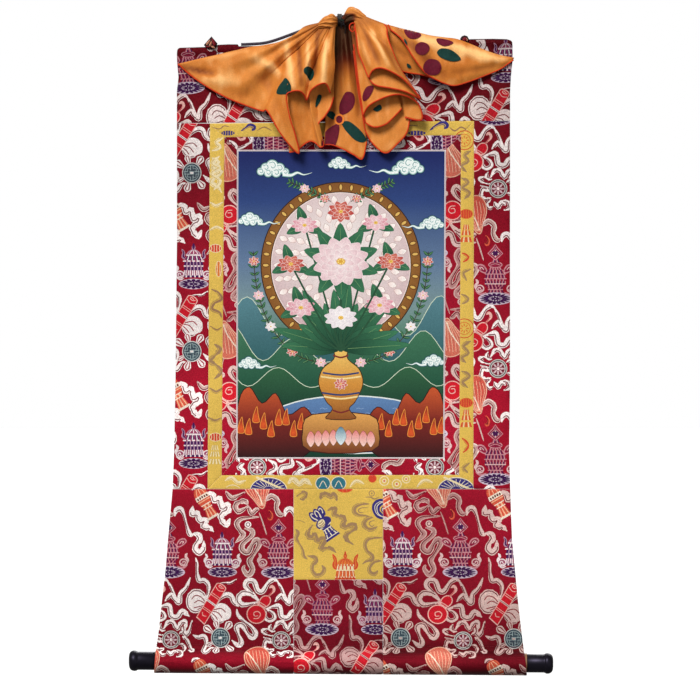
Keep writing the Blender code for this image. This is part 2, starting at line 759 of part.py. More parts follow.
def main():
    clear_scene()
    parts = new_collection("scroll_painting")
    cutters = new_collection("cutters")
    red = material("red_brocade", (0.38, 0.01, 0.03), 0.55)
    yellow = material("yellow_brocade", (0.72, 0.48, 0.07), 0.5)
    paint = material("painted_cloth", (0.03, 0.06, 0.2), 0.75)
    piping = material("piping_silk", (0.7, 0.6, 0.58), 0.6)
    silk = material("orange_silk", (0.8, 0.25, 0.03), 0.4)
    wood = material("roller_wood", (0.35, 0.2, 0.1), 0.6)
    lacquer = material("black_lacquer", (0.01, 0.01, 0.012), 0.35)
    dark_cord = material("dark_cord", (0.04, 0.03, 0.035), 0.7)
    tab_ribbon = material("tab_ribbon", (0.16, 0.07, 0.04), 0.7)
    build_mount(parts, red, yellow)
    build_frames(parts, yellow, red)
    build_picture(parts, paint, piping)
    build_roller(parts, wood, lacquer)
    build_cord(parts, dark_cord)
    build_tab("tab_left", TAB_LEFT, 3.0, parts, tab_ribbon)
    build_tab("tab_right", TAB_RIGHT, 2.2, parts, tab_ribbon)
    build_cover(parts, cutters, silk)
    build_cover_tie(parts, dark_cord)


main()
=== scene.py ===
import math

import bmesh
import bpy
import numpy as np
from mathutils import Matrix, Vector, noise
from mathutils.bvhtree import BVHTree
from mathutils.geometry import delaunay_2d_cdt


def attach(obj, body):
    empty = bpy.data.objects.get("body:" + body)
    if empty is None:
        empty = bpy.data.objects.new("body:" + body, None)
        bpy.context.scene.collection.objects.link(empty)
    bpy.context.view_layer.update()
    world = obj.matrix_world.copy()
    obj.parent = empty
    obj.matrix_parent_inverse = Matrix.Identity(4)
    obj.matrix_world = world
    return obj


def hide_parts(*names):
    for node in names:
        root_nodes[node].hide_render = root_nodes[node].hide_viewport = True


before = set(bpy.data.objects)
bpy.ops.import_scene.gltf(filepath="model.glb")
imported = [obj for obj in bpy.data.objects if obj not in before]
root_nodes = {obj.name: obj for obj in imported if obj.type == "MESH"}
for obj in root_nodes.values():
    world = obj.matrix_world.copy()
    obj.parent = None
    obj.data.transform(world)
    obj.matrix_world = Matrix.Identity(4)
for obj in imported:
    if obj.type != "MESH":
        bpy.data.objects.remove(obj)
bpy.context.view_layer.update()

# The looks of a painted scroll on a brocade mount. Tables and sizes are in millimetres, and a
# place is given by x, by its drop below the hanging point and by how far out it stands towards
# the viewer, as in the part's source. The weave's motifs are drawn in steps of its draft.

MM = 0.001
scene = bpy.context.scene

# ---------------------------------------------------------------- sizes, as in the part's source
SHEET = 1.5                   # thickness of a sheet of brocade
SEAM_GAP = 0.3
TOP_LEFT = (-265.6, 54)
TOP_RIGHT = (271.2, 41.5)
TOP_SEAM = (174.8, 170.8)
LOW_SEAM = 760
YELLOW_OUTSIDE = ((-212.8, 175), (209.6, 171), (208.5, 760), (-216.6, 760))
YELLOW_INSIDE = ((-189.8, 197), (188.8, 194), (185.9, 737.5), (-194.2, 738))
PICTURE = ((-168.5, 218.5), (163.7, 218.5), (161.4, 710.4), (-169.8, 710.4))
PATCH_LEFT = -78.9
PATCH_RIGHT = 64
PATCH_BOTTOM = 905
PIPING = 1.6
PIPING_ROOM = PIPING / 2 + SEAM_GAP
ROLLER_RADIUS = 16
ROLLER_ENDS = (-300.2, 293.9)
ROLLER_DROP = 1036.9
ROLLER_SLOPE = 0.0068
SLEEVE_CLEARANCE = 0.5
SLEEVE_SAG = 1.3
CLOTH = 2
CORD_RADIUS = 2.4
HEM_SKIN = 0.15                # how far the hem lies inside its solid in the scene

MOUNT_SIDES = (
    (30, -265.6, 271.2),
    (74, -265.8, 271.4),
    (101, -263.2, 268.6),
    (124, -265.8, 267.4),
    (360, -265.6, 267.2),
    (600, -268.2, 267.2),
    (700, -270.2, 265.8),
    (760, -272.8, 267.5),
    (840, -280, 270.6),
    (890, -283.8, 275.4),
    (940, -289.6, 280.2),
    (990, -295, 286),
    (1019, -299, 289.8),
    (1058, -302.4, 294.4),
)

TOP_HEM = (
    (0, 1.2, 5),
    (0.6, 1.7, 3.4),
    (1.4, 2.2, 2.2),
    (2.6, 2.5, 1.1),
    (4, 2.6, 0.5),
    (9, 2.3, 0),
    (13, 1, 0),
)

KNOB_PROFILE = (
    (0, 42.2),
    (8, 41.9),
    (12.6, 40.5),
    (15.2, 38),
    (16.4, 34.6),
    (16.5, 32),
    (15.9, 29.8),
    (14.9, 28),
    (14.7, 25.5),
    (14.7, 0.6),
    (14.1, 0),
    (0, 0),
)

CORD_ROUTE = (
    (-163, 48.8, 0),
    (-144, 48, 0),
    (-126, 46.4, 0.2),
    (-108, 41.8, 0.6),
    (-77, 30.6, 1),
    (-40, 16.6, 1),
    (-16, 7.4, 1),
    (0, 4, 1),
    (16, 7.2, 1),
    (40, 16, 1),
    (80, 30.6, 1),
    (106, 38.8, 0.6),
    (124, 41.4, 0.2),
    (144, 41.3, 0),
    (166, 40.8, 0),
)

TAB_LEFT = ((-210.4, 36), (-200.6, 47.6), (-203, 54.6), (-209.6, 57.2), (-218.4, 55), (-222.6, 49.8))
TAB_RIGHT = ((188.2, 45.4), (187.4, 39.6), (190, 35.8), (194.5, 34.2), (199, 35.8), (201.4, 40.2),
             (200.6, 45.2), (194.4, 47))

NECK = (
    (-39, 19, 21, 4, 5),
    (-31, 16, 21.5, 8, 8),
    (-18, 13, 20, 11, 9),
    (-11, 13, 15.5, 7.6, 7.2),
    (-7.2, 13, 12.2, 4.6, 4.6),
    (-2.8, 13, 12.2, 4.6, 4.6),
    (1, 11, 13.5, 7.2, 6.5),
    (8, 6, 15, 12.8, 8),
    (17, 4.2, 16, 12.8, 9),
    (27, 6, 17, 9.6, 8.4),
    (37, 9, 18, 4.6, 5),
)
WAIST_X = -5
# How far the top panel's edge rises above a straight line: x and rise.
TOP_BOW = ((-206, 0.3), (-200, 3.2), (-184, 3.6), (-168.4, 3.2), (-166.6, 0), (172, 0), (180, 1.2),
           (204, 2.8), (240, 2.6), (262, 1.4))

ROOTS = {
    "left_front": ((-33, 14.5, 22), (-12, 11, 21.5)),
    "left_inner": ((-30, 17, 18), (-14, 14, 16.5)),
    "centre": ((-22, 19, 14), (16, 11, 9.5)),
    "right_front": ((17, 9, 23), (31, 3, 23)),
    "right_mouth": ((17, 11, 19.2), (29, 7, 19.5)),
    "right_middle": ((11, 10, 16), (27, 9, 16)),
    "right_hollow": ((12, 11, 12.8), (25, 9, 12.8)),
    "right_lobe": ((11, 12, 9.6), (23, 9, 9.6)),
}
FOLDS = {
    "left_front": (
        (-150, 54, 8, -264, 80, 4.5),
        (-147, 68, 17, -240, 101, 5.5),
        (-142, 82, 14, -212, 120, 8),
        (-136, 96, 19, -184, 135, 9),
        (-124, 102, 12, -157, 146, 10),
        (-108, 92, 11, -138, 153, 9),
        (-94, 84, 16, -127, 156, 12),
        (-84, 92, 29, -120, 157, 23),
        (-86, 112, 33, -99, 193, 26),
        (-88, 128, 34, -71, 224, 21),
        (-88, 122, 34, -76, 195, 27),
        (-88, 116, 34, -85, 165, 30),
        (-84, 104, 35, -90, 133, 33),
        (-72, 98, 39, -82, 126, 38),
        (-64, 98, 41, -70, 125, 41),
        (-57, 102, 35, -62, 131, 35),
        (-52, 104, 28, -58, 139, 29),
        (-45, 96, 37, -51, 124, 38),
        (-35, 90, 43, -38, 115, 45),
        (-23, 90, 42, -27, 114, 44),
        (-14, 92, 34, -20, 128, 36),
    ),
    "left_inner": (
        (-93, 118, 24, -86, 222, 15),
        (-80, 120, 23, -74, 219, 16),
        (-66, 122, 18, -62, 209, 12),
        (-56, 124, 16, -52, 204, 12),
        (-50, 124, 18, -44, 207, 15),
        (-54, 132, 24, -36, 214, 25),
        (-46, 130, 20, -31, 208, 20),
        (-40, 118, 17, -40, 180, 20),
        (-31, 112, 18, -29, 165, 25),
        (-21, 106, 19, -20, 150, 28),
        (-14, 98, 19, -15, 134, 26),
    ),
    "centre": (
        (-26, 120, 9, -30, 209, 8),
        (-11, 116, 11, -16, 210, 9),
        (0, 112, 6, 3, 218, 10),
        (11, 112, 10, 18, 226, 11),
        (20, 116, 7, 31, 232, 12),
        (28, 118, 5.2, 38, 205, 8),
    ),
    "right_front": (
        (26, 66, 33, 41, 104, 41),
        (42, 62, 42, 47, 93, 47),
        (57, 58, 45, 60, 89, 49),
        (68, 60, 44, 79, 96, 48),
        (76, 64, 40, 99, 109, 45),
        (78, 66, 34, 125, 139, 36),
    ),
    "right_mouth": (
        (28, 70, 25, 42, 106, 37),
        (43, 72, 30, 52, 116, 39),
        (60, 74, 31, 78, 121, 39),
        (72, 76, 29, 99, 126, 36),
        (82, 80, 25, 122, 137, 30),
    ),
    "right_middle": (
        (24, 100, 19, 32, 163, 26),
        (37, 98, 24, 40, 149, 33),
        (55, 92, 25, 59, 138, 34),
        (70, 92, 24, 80, 131, 34),
        (82, 94, 21, 98, 132, 31),
        (94, 104, 18, 120, 145, 24),
        (96, 108, 15, 126, 170, 20),
        (86, 112, 12, 99, 166, 14),
    ),
    "right_hollow": (
        (25, 112, 16, 36, 175, 22),
        (40, 112, 17, 50, 182, 24),
        (54, 110, 17, 67, 178, 23),
        (66, 108, 16, 79, 168, 22),
        (78, 108, 13, 94, 152, 18),
    ),
    "right_lobe": (
        (24, 120, 11.5, 36, 188, 13),
        (37, 122, 10.5, 47, 207, 12),
        (50, 120, 10, 68, 223, 14),
        (63, 116, 9, 87, 208, 13),
        (75, 114, 7.5, 102, 190, 12),
        (93, 112, 6, 107, 164, 10),
    ),
}

WINGS = {
    "right_back": (
        (20, -1, 16, 24, 26, 13, 0),
        (43, 7.5, 15, 40, 46, 12, 0),
        (60, 14, 14.5, 66, 82, 11, 2),
        (80, 21, 13, 99, 93, 9, 4),
        (107, 27, 11, 127, 98, 8, 2),
        (141, 35, 8, 152, 106, 8, 0),
    ),
    "right_wing": (
        (72, 18.2, 15, 76, 26, 20, 0),
        (91, 23.4, 13.4, 95, 43, 25, 2),
        (107, 27, 12.2, 111, 69, 27, 4),
        (123, 31, 11, 128, 92, 25, 4),
        (141, 35, 9.6, 141, 102, 21, 4),
        (163, 38, 9.5, 163, 112, 15, 5),
        (182, 40.5, 9.5, 179, 115, 12, 6),
        (203, 48, 8.5, 200, 109, 9, 6),
        (227, 58, 6.5, 226, 99, 7, 5),
        (251, 66, 5.5, 250, 89, 5.5, 3),
        (273.5, 70, 5, 272.5, 74, 5, 0),
    ),
}


# ---------------------------------------------------------------- helpers
def place(x, drop, out):
    return Vector((x * MM, -out * MM, -drop * MM))


def blend(a, b, share):
    return tuple(p + (q - p) * share for p, q in zip(a, b))


def ease(value, start, end):
    share = np.clip((value - start) / (end - start), 0, 1)
    return share * share * (3 - 2 * share)


def along(rows, share):
    """A smooth curve through rows of numbers, read at a share of its way from 0 to 1."""
    last = len(rows) - 1
    step = min(int(share * last), last - 1)
    t = share * last - step
    before = rows[max(step - 1, 0)]
    after = rows[min(step + 2, last)]
    return tuple(
        0.5 * (2 * p1 + (p2 - p0) * t
               + (2 * p0 - 5 * p1 + 4 * p2 - p3) * t * t
               + (3 * p1 - p0 - 3 * p2 + p3) * t * t * t)
        for p0, p1, p2, p3 in zip(before, rows[step], rows[step + 1], after)
    )


def smooth(points, steps=4, closed=False):
    """A smooth line through points, with a number of steps between two of them."""
    points = list(points)
    if closed:
        points = points[-1:] + points + points[:2]
    last = len(points) - 1
    start, end = (steps, (last - 1) * steps) if closed else (0, last * steps + 1)
    return [along(points, step / (last * steps)) for step in range(start, end)]


def colour(red, green, blue):
    """A colour as one reads it off a screen, turned to the renderer's linear numbers."""
    shares = [part / 255 for part in (red, green, blue)]
    return tuple(c / 12.92 if c <= 0.04045 else ((c + 0.055) / 1.055) ** 2.4 for c in shares)


def finish_piece(name, mesh, looks, slot, *nodes):
    piece = bpy.data.objects.new(name, mesh)
    scene.collection.objects.link(piece)
    for look in looks:
        piece.data.materials.append(look)
    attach(piece, "root")
    if nodes:
        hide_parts(*nodes)
    return piece


# ---------------------------------------------------------------- materials
class Look:
    """A material with a few short ways to add and join its nodes."""

    def __init__(self, name, **values):
        self.material = bpy.data.materials.new(name)
        self.material.use_nodes = True
        self.nodes = self.material.node_tree.nodes
        self.shader = self.nodes["Principled BSDF"]
        for socket, value in values.items():
            self.set(self.shader, socket.replace("_", " "), value)
        self.place = self.add("ShaderNodeTexCoord").outputs["Object"]

    def set(self, node, socket, value):
        if isinstance(value, bpy.types.NodeSocket):
            self.material.node_tree.links.new(value, node.inputs[socket])
        elif isinstance(value, tuple) and len(value) == 3 and node.inputs[socket].type == "RGBA":
            node.inputs[socket].default_value = (*value, 1)
        else:
            node.inputs[socket].default_value = value

    def add(self, kind, settings=None, **values):
        node = self.nodes.new(kind)
        for key, value in (settings or {}).items():
            setattr(node, key, value)
        for socket, value in values.items():
            name = socket.replace("_", " ")
            self.set(node, int(name[1:]) if name[0] == "i" and name[1:].isdigit() else name, value)
        return node

    def noise(self, scale, detail=3, roughness=0.6, place=None, distortion=0):
        return self.add("ShaderNodeTexNoise", Vector=place or self.place, Scale=scale, Detail=detail,
                        Roughness=roughness, Distortion=distortion).outputs["Fac"]

    def stretched(self, scale):
        return self.add("ShaderNodeMapping", Vector=self.place, Scale=scale).outputs["Vector"]

    def math(self, operation, first, second=0, third=0):
        node = self.add("ShaderNodeMath", {"operation": operation}, i0=first, i1=second, i2=third)
        return node.outputs[0]

    def between(self, value, low, high, start=0, end=1):
        node = self.add("ShaderNodeMapRange", Value=value)
        for socket, number in (("From Min", start), ("From Max", end), ("To Min", low), ("To Max", high)):
            node.inputs[socket].default_value = number
        return node.outputs["Result"]

    def mix(self, share, first, second, kind="MIX"):
        node = self.add("ShaderNodeMix", {"data_type": "RGBA", "blend_type": kind})
        self.set(node, 0, share)
        self.set(node, 6, first)
        self.set(node, 7, second)
        return node.outputs[2]

    def grey(self, value):
        return self.add("ShaderNodeCombineColor", Red=value, Green=value, Blue=value).outputs[0]

    def bump(self, height, distance, strength=1, normal=None):
        node = self.add("ShaderNodeBump", Height=height, Distance=distance, Strength=strength)
        if normal:
            self.set(node, "Normal", normal)
        return node.outputs["Normal"]

    def wave(self, scale, distortion):
        return self.add("ShaderNodeTexWave", {"bands_direction": "DIAGONAL"}, Vector=self.place, Scale=scale,
                        Distortion=distortion).outputs["Fac"]

    def show(self, base, normal=None):
        """Puts a colour and a normal on the shader."""
        self.set(self.shader, "Base Color", base)
        if normal:
            self.set(self.shader, "Normal", normal)
        return self.material


def weave_height(look, pitch):
    """Warp and weft as two crossed rows of fine ridges, pitch millimetres apart."""
    turns = math.pi * 2 / (pitch * MM)
    split = look.add("ShaderNodeSeparateXYZ", Vector=look.place)
    across = look.math("SINE", look.math("MULTIPLY", split.outputs["X"], turns))
    down = look.math("SINE", look.math("MULTIPLY", split.outputs["Z"], turns * 0.8))
    return look.math("MULTIPLY", across, down)


def woven_look(name, roughness, sheen, grain, pitch, bump, mottle, satin=0, dull=1,
               gloss_tint=(0.3, 0.3, 0.3)):
    """Cloth that takes its colours from the mesh, with the grain and the weave of its threads."""
    look = Look(name, Roughness=roughness, Sheen_Weight=sheen, Sheen_Roughness=0.4,
                Specular_IOR_Level=0.5, Specular_Tint=gloss_tint)
    paint = look.add("ShaderNodeVertexColor", {"layer_name": "threads"})
    fine = look.noise(700, 2, 0.8)
    broad = look.noise(9, 3, 0.55)
    light = look.math("MULTIPLY", look.between(fine, 1 - grain, 1 + grain, 0.3, 0.7),
                      look.between(broad, (1 - mottle) * dull, (1 + mottle) * dull, 0.3, 0.7))
    if satin:
        slub = look.noise(40, 3, 0.6, look.stretched((1, 1, 6)))
        gloss = look.math("MULTIPLY", paint.outputs["Alpha"],
                          look.between(slub, satin * 0.7, satin * 1.3, 0.3, 0.7))
        look.set(look.shader, "Roughness", look.math("SUBTRACT", roughness, gloss))
    height = look.math("ADD", weave_height(look, pitch), look.math("MULTIPLY", fine, 1.5))
    return look.show(look.mix(1, paint.outputs["Color"], look.grey(light), "MULTIPLY"),
                     look.bump(height, bump * MM))


# ---------------------------------------------------------------- drawing in flat cloth
# A shape is a paint and a closed line of points. A paint is a name from a palette, a colour,
# or a function that gives colours for arrays of x and y. Later shapes lie over earlier ones.
def spot(x, y, wide, tall, angle):
    """The point at an angle of an oval round x, y."""
    return x + wide * math.cos(angle), y + tall * math.sin(angle)


def angles(count, shift=0):
    return [math.tau * (number + shift) / count for number in range(count)]


def turned(points, x, y, turn=0, size=1):
    c, s = math.cos(turn) * size, math.sin(turn) * size
    return [(x + u * c - v * s, y + u * s + v * c) for u, v in points]


def mirrored(side, *points):
    """Points of the right side as they are, or their mirror image where side is -1."""
    return [(side * x, y) for x, y in points]


def disc(paint, x, y, wide, tall=None, turn=0, sides=16):
    oval = [spot(0, 0, wide, tall or wide, angle) for angle in angles(sides)]
    return [(paint, turned(oval, x, y, turn))]


def discs(x, y, *rows, sides=16):
    """Discs round one middle: paint, half width and, where it differs, half height."""
    return [entry for paint, *size in rows for entry in disc(paint, x, y, *size, sides=sides)]


def shape(paint, points, steps=4):
    return [(paint, smooth(points, steps, closed=True))]


def grown(points, distance):
    """A closed line moved outwards by a distance, or inwards by a negative one."""
    area = sum(a[0] * b[1] - b[0] * a[1] for a, b in zip(points, points[1:] + points[:1]))
    sign = 1 if area > 0 else -1
    moved = []
    for number, (x, y) in enumerate(points):
        before, after = points[number - 1], points[(number + 1) % len(points)]
        run = Vector((after[0] - before[0], after[1] - before[1]))
        if run.length > 0:
            run.normalize()
        moved.append((x + run.y * distance * sign, y - run.x * distance * sign))
    return moved


def rimmed(rim, fill, points, width, steps=4):
    """A smooth closed shape with a rim of its own colour."""
    line = smooth(points, steps, closed=True)
    return [(rim, line), (fill, grown(line, -width))]


def strip(paint, path, halves, offset=0):
    """A band along a path, with half its width at each point; an offset makes it a line in a wider band."""
    sides = ([], [])
    for number, (x, y) in enumerate(path):
        before, after = path[max(number - 1, 0)], path[min(number + 1, len(path) - 1)]
        run = Vector((after[0] - before[0], after[1] - before[1]))
        run = run.normalized() if run.length > 0 else Vector((1, 0))
        half = halves[number]
        middle = (x - run.y * offset * half, y + run.x * offset * half)
        reach = min(half, LINE_HALF) if offset else half
        sides[0].append((middle[0] - run.y * reach, middle[1] + run.x * reach))
        sides[1].append((middle[0] + run.y * reach, middle[1] - run.x * reach))
    return [(paint, sides[0] + sides[1][::-1])]


LINE_HALF = 0.5               # half the width of the fine line in a ribbon, in steps


def ribbon(paint, points, width, lumps=0, start=0.12, end=0.12, line=None):
    """A ribbon that is wide in its bends and has pointed ends and a fine line along it.

    Lumps scallop its edges."""
    path = smooth(points, 4)
    reach = [0]
    for a, b in zip(path, path[1:]):
        reach.append(reach[-1] + math.dist(a, b))
    total = reach[-1]
    ways = [math.atan2(b[1] - a[1], b[0] - a[0]) for a, b in zip(path, path[1:])]
    halves = []
    for number, passed in enumerate(reach):
        near = ways[max(number - 3, 0):number + 3]
        turning = sum(abs(math.remainder(b - a, math.tau)) for a, b in zip(near, near[1:]))
        share = passed / total
        point = min((share + 0.02) / (start + 0.02), 1) * min((1.02 - share) / (end + 0.02), 1)
        scallop = 1 - lumps + lumps * 1.6 * abs(math.sin(math.pi * passed / 5.2))
        halves.append(width / 2 * math.sqrt(point) * scallop * (0.5 + 0.66 * min(turning / 1.3, 1)))
    drawn = strip(paint, path, halves)
    if paint == "silver":
        drawn = strip("silver_edge", path, halves) + strip(paint, path, [half * 0.6 for half in halves])
    if line and width > 2.5:
        cut = len(path) // 8
        inner = slice(cut, len(path) - cut)
        drawn += strip(line, path[inner], halves[inner], 0.5)
    return drawn


def line(paint, points, half, steps=4):
    path = smooth(points, steps) if steps > 1 else list(points)
    return strip(paint, path, [half] * len(path))


def moved(shapes, x=0, y=0, turn=0, size=1):
    return [(paint, turned(points, x, y, turn, size)) for paint, points in shapes]


def tiers(rows):
    """Bands one under another: top, bottom, half width above and below, its paints and stripes."""
    drawn = []
    for top, bottom, above, below, paints, count in rows:
        for number in range(count):
            low, high = number / count * 2 - 1, (number + 1) / count * 2 - 1
            corners = [(low * above, top), (high * above, top), (high * below, bottom), (low * below,
                                                                                         bottom)]
            drawn.append((paints[number % len(paints)], corners))
    return drawn


# ---------------------------------------------------------------- motifs of the brocade
def lotus(half, tall, petals):
    """A flat flower seen from the side: two rings of dark petals in a pale disc."""
    drawn = disc("lotus_edge", 0, 0, half, tall, sides=28)
    for middle, length, count, shift in ((0.66, 0.3, petals, 0.5), (0.22, 0.18, petals - 6, 0)):
        wide = middle * math.pi / count * 0.98
        for angle in angles(count, shift):
            for paint, points in moved(disc("lotus", middle, 0, length, wide, sides=8), turn=angle):
                drawn.append((paint, [(x * half, y * tall) for x, y in points]))
    return drawn


def curl(edge, fill, x, y, size, side):
    """A round cloud with a spiral line in it and a curled tail above."""
    tail = [(x + side * size * u, y + size * v) for u, v in ((0.4, 0.3), (1, -0.5), (0.5, -1.4),
                                                             (0.9, -2.1))]
    drawn = ribbon(edge, tail, size * 0.5)
    drawn += disc(edge, x, y, size, size * 0.9) + disc(fill, x, y, size * 0.74, size * 0.64)
    spiral = [spot(x, y, side * size * r, size * r * 0.9, a)
              for r, a in ((0.62, 2.8), (0.56, 1.4), (0.46, 0.1), (0.34, -1.3), (0.2, -2.8), (0.08, -4.2))]
    return drawn + line(edge, spiral, size * 0.11, 3)


def umbrella():
    dark, mid, edge, pale = "umb_dark", "umb_mid", "umb_edge", "umb_pale"
    drawn = []
    for side in (-1, 1):
        drawn += curl(pale, mid, side * 13.6, -9.4, 4.4, side)
        drawn += ribbon(pale, mirrored(side, (9.4, -6), (13.4, -4.4), (17.6, -7)), 1.4)
        drawn += ribbon(edge, mirrored(side, (6.8, -24.6), (10.6, -27), (9.8, -31), (11.8, -35)), 2.6)
        drawn += ribbon(dark, mirrored(side, (7.6, -25.2), (10.2, -27.6), (9.8, -31), (11.2, -34)), 1.3)
    drawn += tiers((
        (-8.6, -6.6, 9.2, 9.6, (dark, pale, dark), 13), (-13.6, -8.6, 9.6, 10.4, (pale, edge, pale, mid),
                                                         19),
        (-17.4, -13.6, 9.2, 9.4, (dark, dark, edge), 16), (-18.6, -17.2, 9.8, 9.8, (pale, edge), 11),
        (-22.4, -18.6, 9, 9.6, (dark, dark, edge), 17), (-23.6, -22.2, 10.4, 10.6, (pale, pale, mid), 14),
        (-28.4, -23.6, 7, 9.2, (mid, dark, pale, dark), 15), (-29.6, -28.2, 7.6, 7.6, (pale,), 1),
    ))
    drawn += shape(edge, ((-7, -29.4), (-4.6, -33), (0, -34.6), (4.6, -33), (7, -29.4), (0, -29.8)), 3)
    drawn += shape(mid, ((-5.4, -30), (-3.6, -32.4), (0, -33.6), (3.6, -32.4), (5.4, -30), (0, -30.2)), 3)
    for x in (-3.2, 0, 3.2):
        drawn += line(pale, ((x * 1.3, -30), (x, -31.8), (x * 0.4, -33.6)), 0.4)
    drawn += disc(edge, 0, -36.4, 1.9, 2.6, sides=10) + disc(dark, 0, -37.6, 1.3, 3.2, sides=10)
    return drawn + lotus(14.8, 5.2, 14)


def treasure_stack():
    dark, mid, edge, pale = "stk_dark", "stk_mid", "stk_edge", "stk_pale"
    drawn = []
    for side in (-1, 1):
        drawn += ribbon(edge, mirrored(side, (9, -6), (15, -4), (20, -7.4)), 1.6)
        drawn += curl(pale, mid, side * 15.6, -9.6, 4.5, side)
        drawn += shape(edge, mirrored(side, (8, -27.5), (11.4, -33), (16.6, -34), (19, -30.6), (15, -26.6),
                                      (10, -24.6)), 3)
        drawn += shape(mid, mirrored(side, (9.2, -27.4), (12.2, -31.8), (16.2, -32.6), (17.6, -30.4),
                                     (14.4, -27.6), (10.6, -25.8)), 3)
        drawn += line(pale, mirrored(side, (11.6, -28.4), (13.6, -30.8), (15.8, -30.4), (14.2, -28.8)), 0.4)
    drawn += tiers((
        (-8.4, -4.6, 6.8, 9, (mid, dark, edge), 14), (-9.2, -8.2, 7.6, 7.6, (edge,), 1),
        (-11.6, -9.2, 8.4, 7.2, (mid, edge, mid, dark), 17), (-14, -11.6, 9.8, 8.4, (dark, mid, edge, mid),
                                                              21),
        (-14.9, -13.9, 10.6, 10.4, (pale,), 1), (-17, -14.9, 10.6, 10.4, (dark, mid, edge), 21),
        (-19, -17, 10.6, 10.6, (mid, edge, mid), 19), (-20, -19, 11.2, 11.2, (edge,), 1),
        (-23.8, -20, 10, 10.8, (mid, dark, edge), 19), (-24.6, -23.7, 10.4, 10.4, (edge,), 1),
        (-28.4, -24.6, 7.4, 9.8, (dark, mid, edge), 15), (-31, -28.4, 6, 7.4, (mid, edge), 11),
    ))
    drawn += disc(edge, 0, -33.4, 7.2, 3.2) + disc(mid, 0, -33.3, 6.2, 2.3)
    drawn += line(edge, ((-5, -32.8), (0, -34.4), (5, -32.8)), 0.35)
    drawn += tiers(((-39, -35.6, 2.6, 4.4, (mid, edge, dark), 6),))
    rhombus = [(0, -54), (2.6, -50.2), (7.8, -44.6), (3.4, -40.4), (0, -37.8), (-3.4, -40.4), (-7.8, -44.6),
               (-2.6, -50.2)]
    drawn.append((edge, rhombus))
    drawn += [(paint, grown(rhombus, -inward)) for paint, inward in ((mid, 0.9), (edge, 2.2), (dark, 2.8))]
    for x, y in ((0, -47.4), (-3, -44.4), (3, -44.4), (0, -41.8)):
        drawn += disc(pale, x, y, 0.7, 0.9, sides=6)
    return drawn + disc("lotus_edge", 0, 0.3, 17.2, 6.2, sides=28) + moved(lotus(16.6, 5.8, 17), y=0.3)


def slanted_vase():
    """Drawn upright, with its dome at the top, 34 steps tall."""
    drawn = shape("vase", ((-6.6, 7.6), (-6, 2.6), (-2.4, -0.4), (2.4, -0.4), (6, 2.6), (6.6, 7.6),
                           (0, 8.2)))
    for x in (-3.6, 0, 3.6):
        drawn += line("vase_line", ((x * 1.2, 7.4), (x, 4), (x * 0.5, 0.8)), 0.4)
    drawn += tiers(((7.6, 12.2, 7.2, 7.6, ("vase_pale",), 1),))
    for number in range(5):
        drawn += disc("vase_dark", -5.2 + number * 2.6, 9.9 + abs(number - 2) * 0.2, 0.95, 1.35, sides=8)
    return drawn + tiers((
        (12.2, 13.4, 6.8, 6.9, ("vase",), 1), (13.4, 14.4, 6.9, 6.8, ("vase_line",), 1),
        (14.4, 17.4, 6.8, 5.8, ("vase",), 1), (17.4, 18.4, 5.8, 5.2, ("vase_pale",), 1),
        (18.4, 21.4, 5.2, 4.4, ("vase", "vase_line"), 5), (21.4, 22.4, 5, 4.8, ("vase_pale",), 1),
        (22.4, 31.6, 4, 5.8, ("vase", "vase_line", "vase"), 9), (31.6, 33.8, 6.2, 6.8, ("vase_pale",), 1),
    ))


def scroll_bundle():
    """Drawn upright, 45 steps tall and 11.6 wide, its round end at the top."""
    half, edge = 5.8, "scarlet_line"
    wide, narrow = half + 0.4, half - 0.8
    drawn = [(edge, [(-half, 2), (half, 2), (half, 45), (-half, 43)])] + disc(edge, 0, 2.6, half, 3)
    drawn += [("scarlet", [(-narrow, 3.6), (narrow, 3.6), (narrow, 43.8), (-narrow, 42)])]
    drawn += disc("scarlet", 0, 2.8, half - 0.9, 2.2)
    drawn += line(edge, ((-4.6, 5.4), (0, 7.4), (4.6, 5.4)), 0.35)
    drawn += line(edge, ((1.4, 2.6), (-1.4, 1.8), (-2.2, 3.4), (0.6, 4), (3.2, 2.4)), 0.4)
    drawn += [(edge, [(-half, low), (half, low + 0.6), (half, low + 1.2), (-half, low + 0.6)])
              for low in (12.4, 14.4, 29.2, 31)]
    drawn += line(edge, ((-3, 35), (-0.6, 37.6), (2.8, 36.4)), 0.4)
    drawn += [("cloud", [(-wide, 20.6), (wide, 21.4), (wide, 23.4), (-wide, 22.6)])]
    return drawn + [("inline", [(-wide, 21.4), (wide, 22.2), (wide, 22.7), (-wide, 21.9)])]


def gourd():
    """Its lower bulb in the middle of the drawing."""
    edge = "scarlet_line"
    drawn = ribbon(edge, ((9, -16), (13.6, -20), (17.4, -24.6), (15.6, -28.4), (12.6, -26.6)), 2.4)
    drawn += disc(edge, 0, 0, 9.8, sides=24) + disc(edge, 8.4, -13, 6.8, 5.6, -0.9)
    drawn += shape(edge, ((0.4, -10.4), (5, -14.2), (9.6, -8.4), (6.4, -5.4)), 2)
    drawn += disc("scarlet", 0, 0, 8.8, sides=24) + disc("scarlet", 8.4, -13, 5.8, 4.6, -0.9)
    drawn += line(edge, ((-1, -11.6), (4.4, -9.4), (9.4, -5.4)), 0.45)
    drawn += line(edge, ((0.6, -13.4), (5.4, -11), (10.6, -7.4)), 0.4)
    drawn += line(edge, ((1.6, 1.6), (-1.8, 1.8), (-2.4, -1.6), (1.4, -2.8), (4, 0), (1.8, 4), (-2.8, 4.4)),
                  0.42)
    return drawn + ribbon("scarlet", ((10.2, -16.6), (13.8, -20.4), (16.4, -24.4)), 1.1)


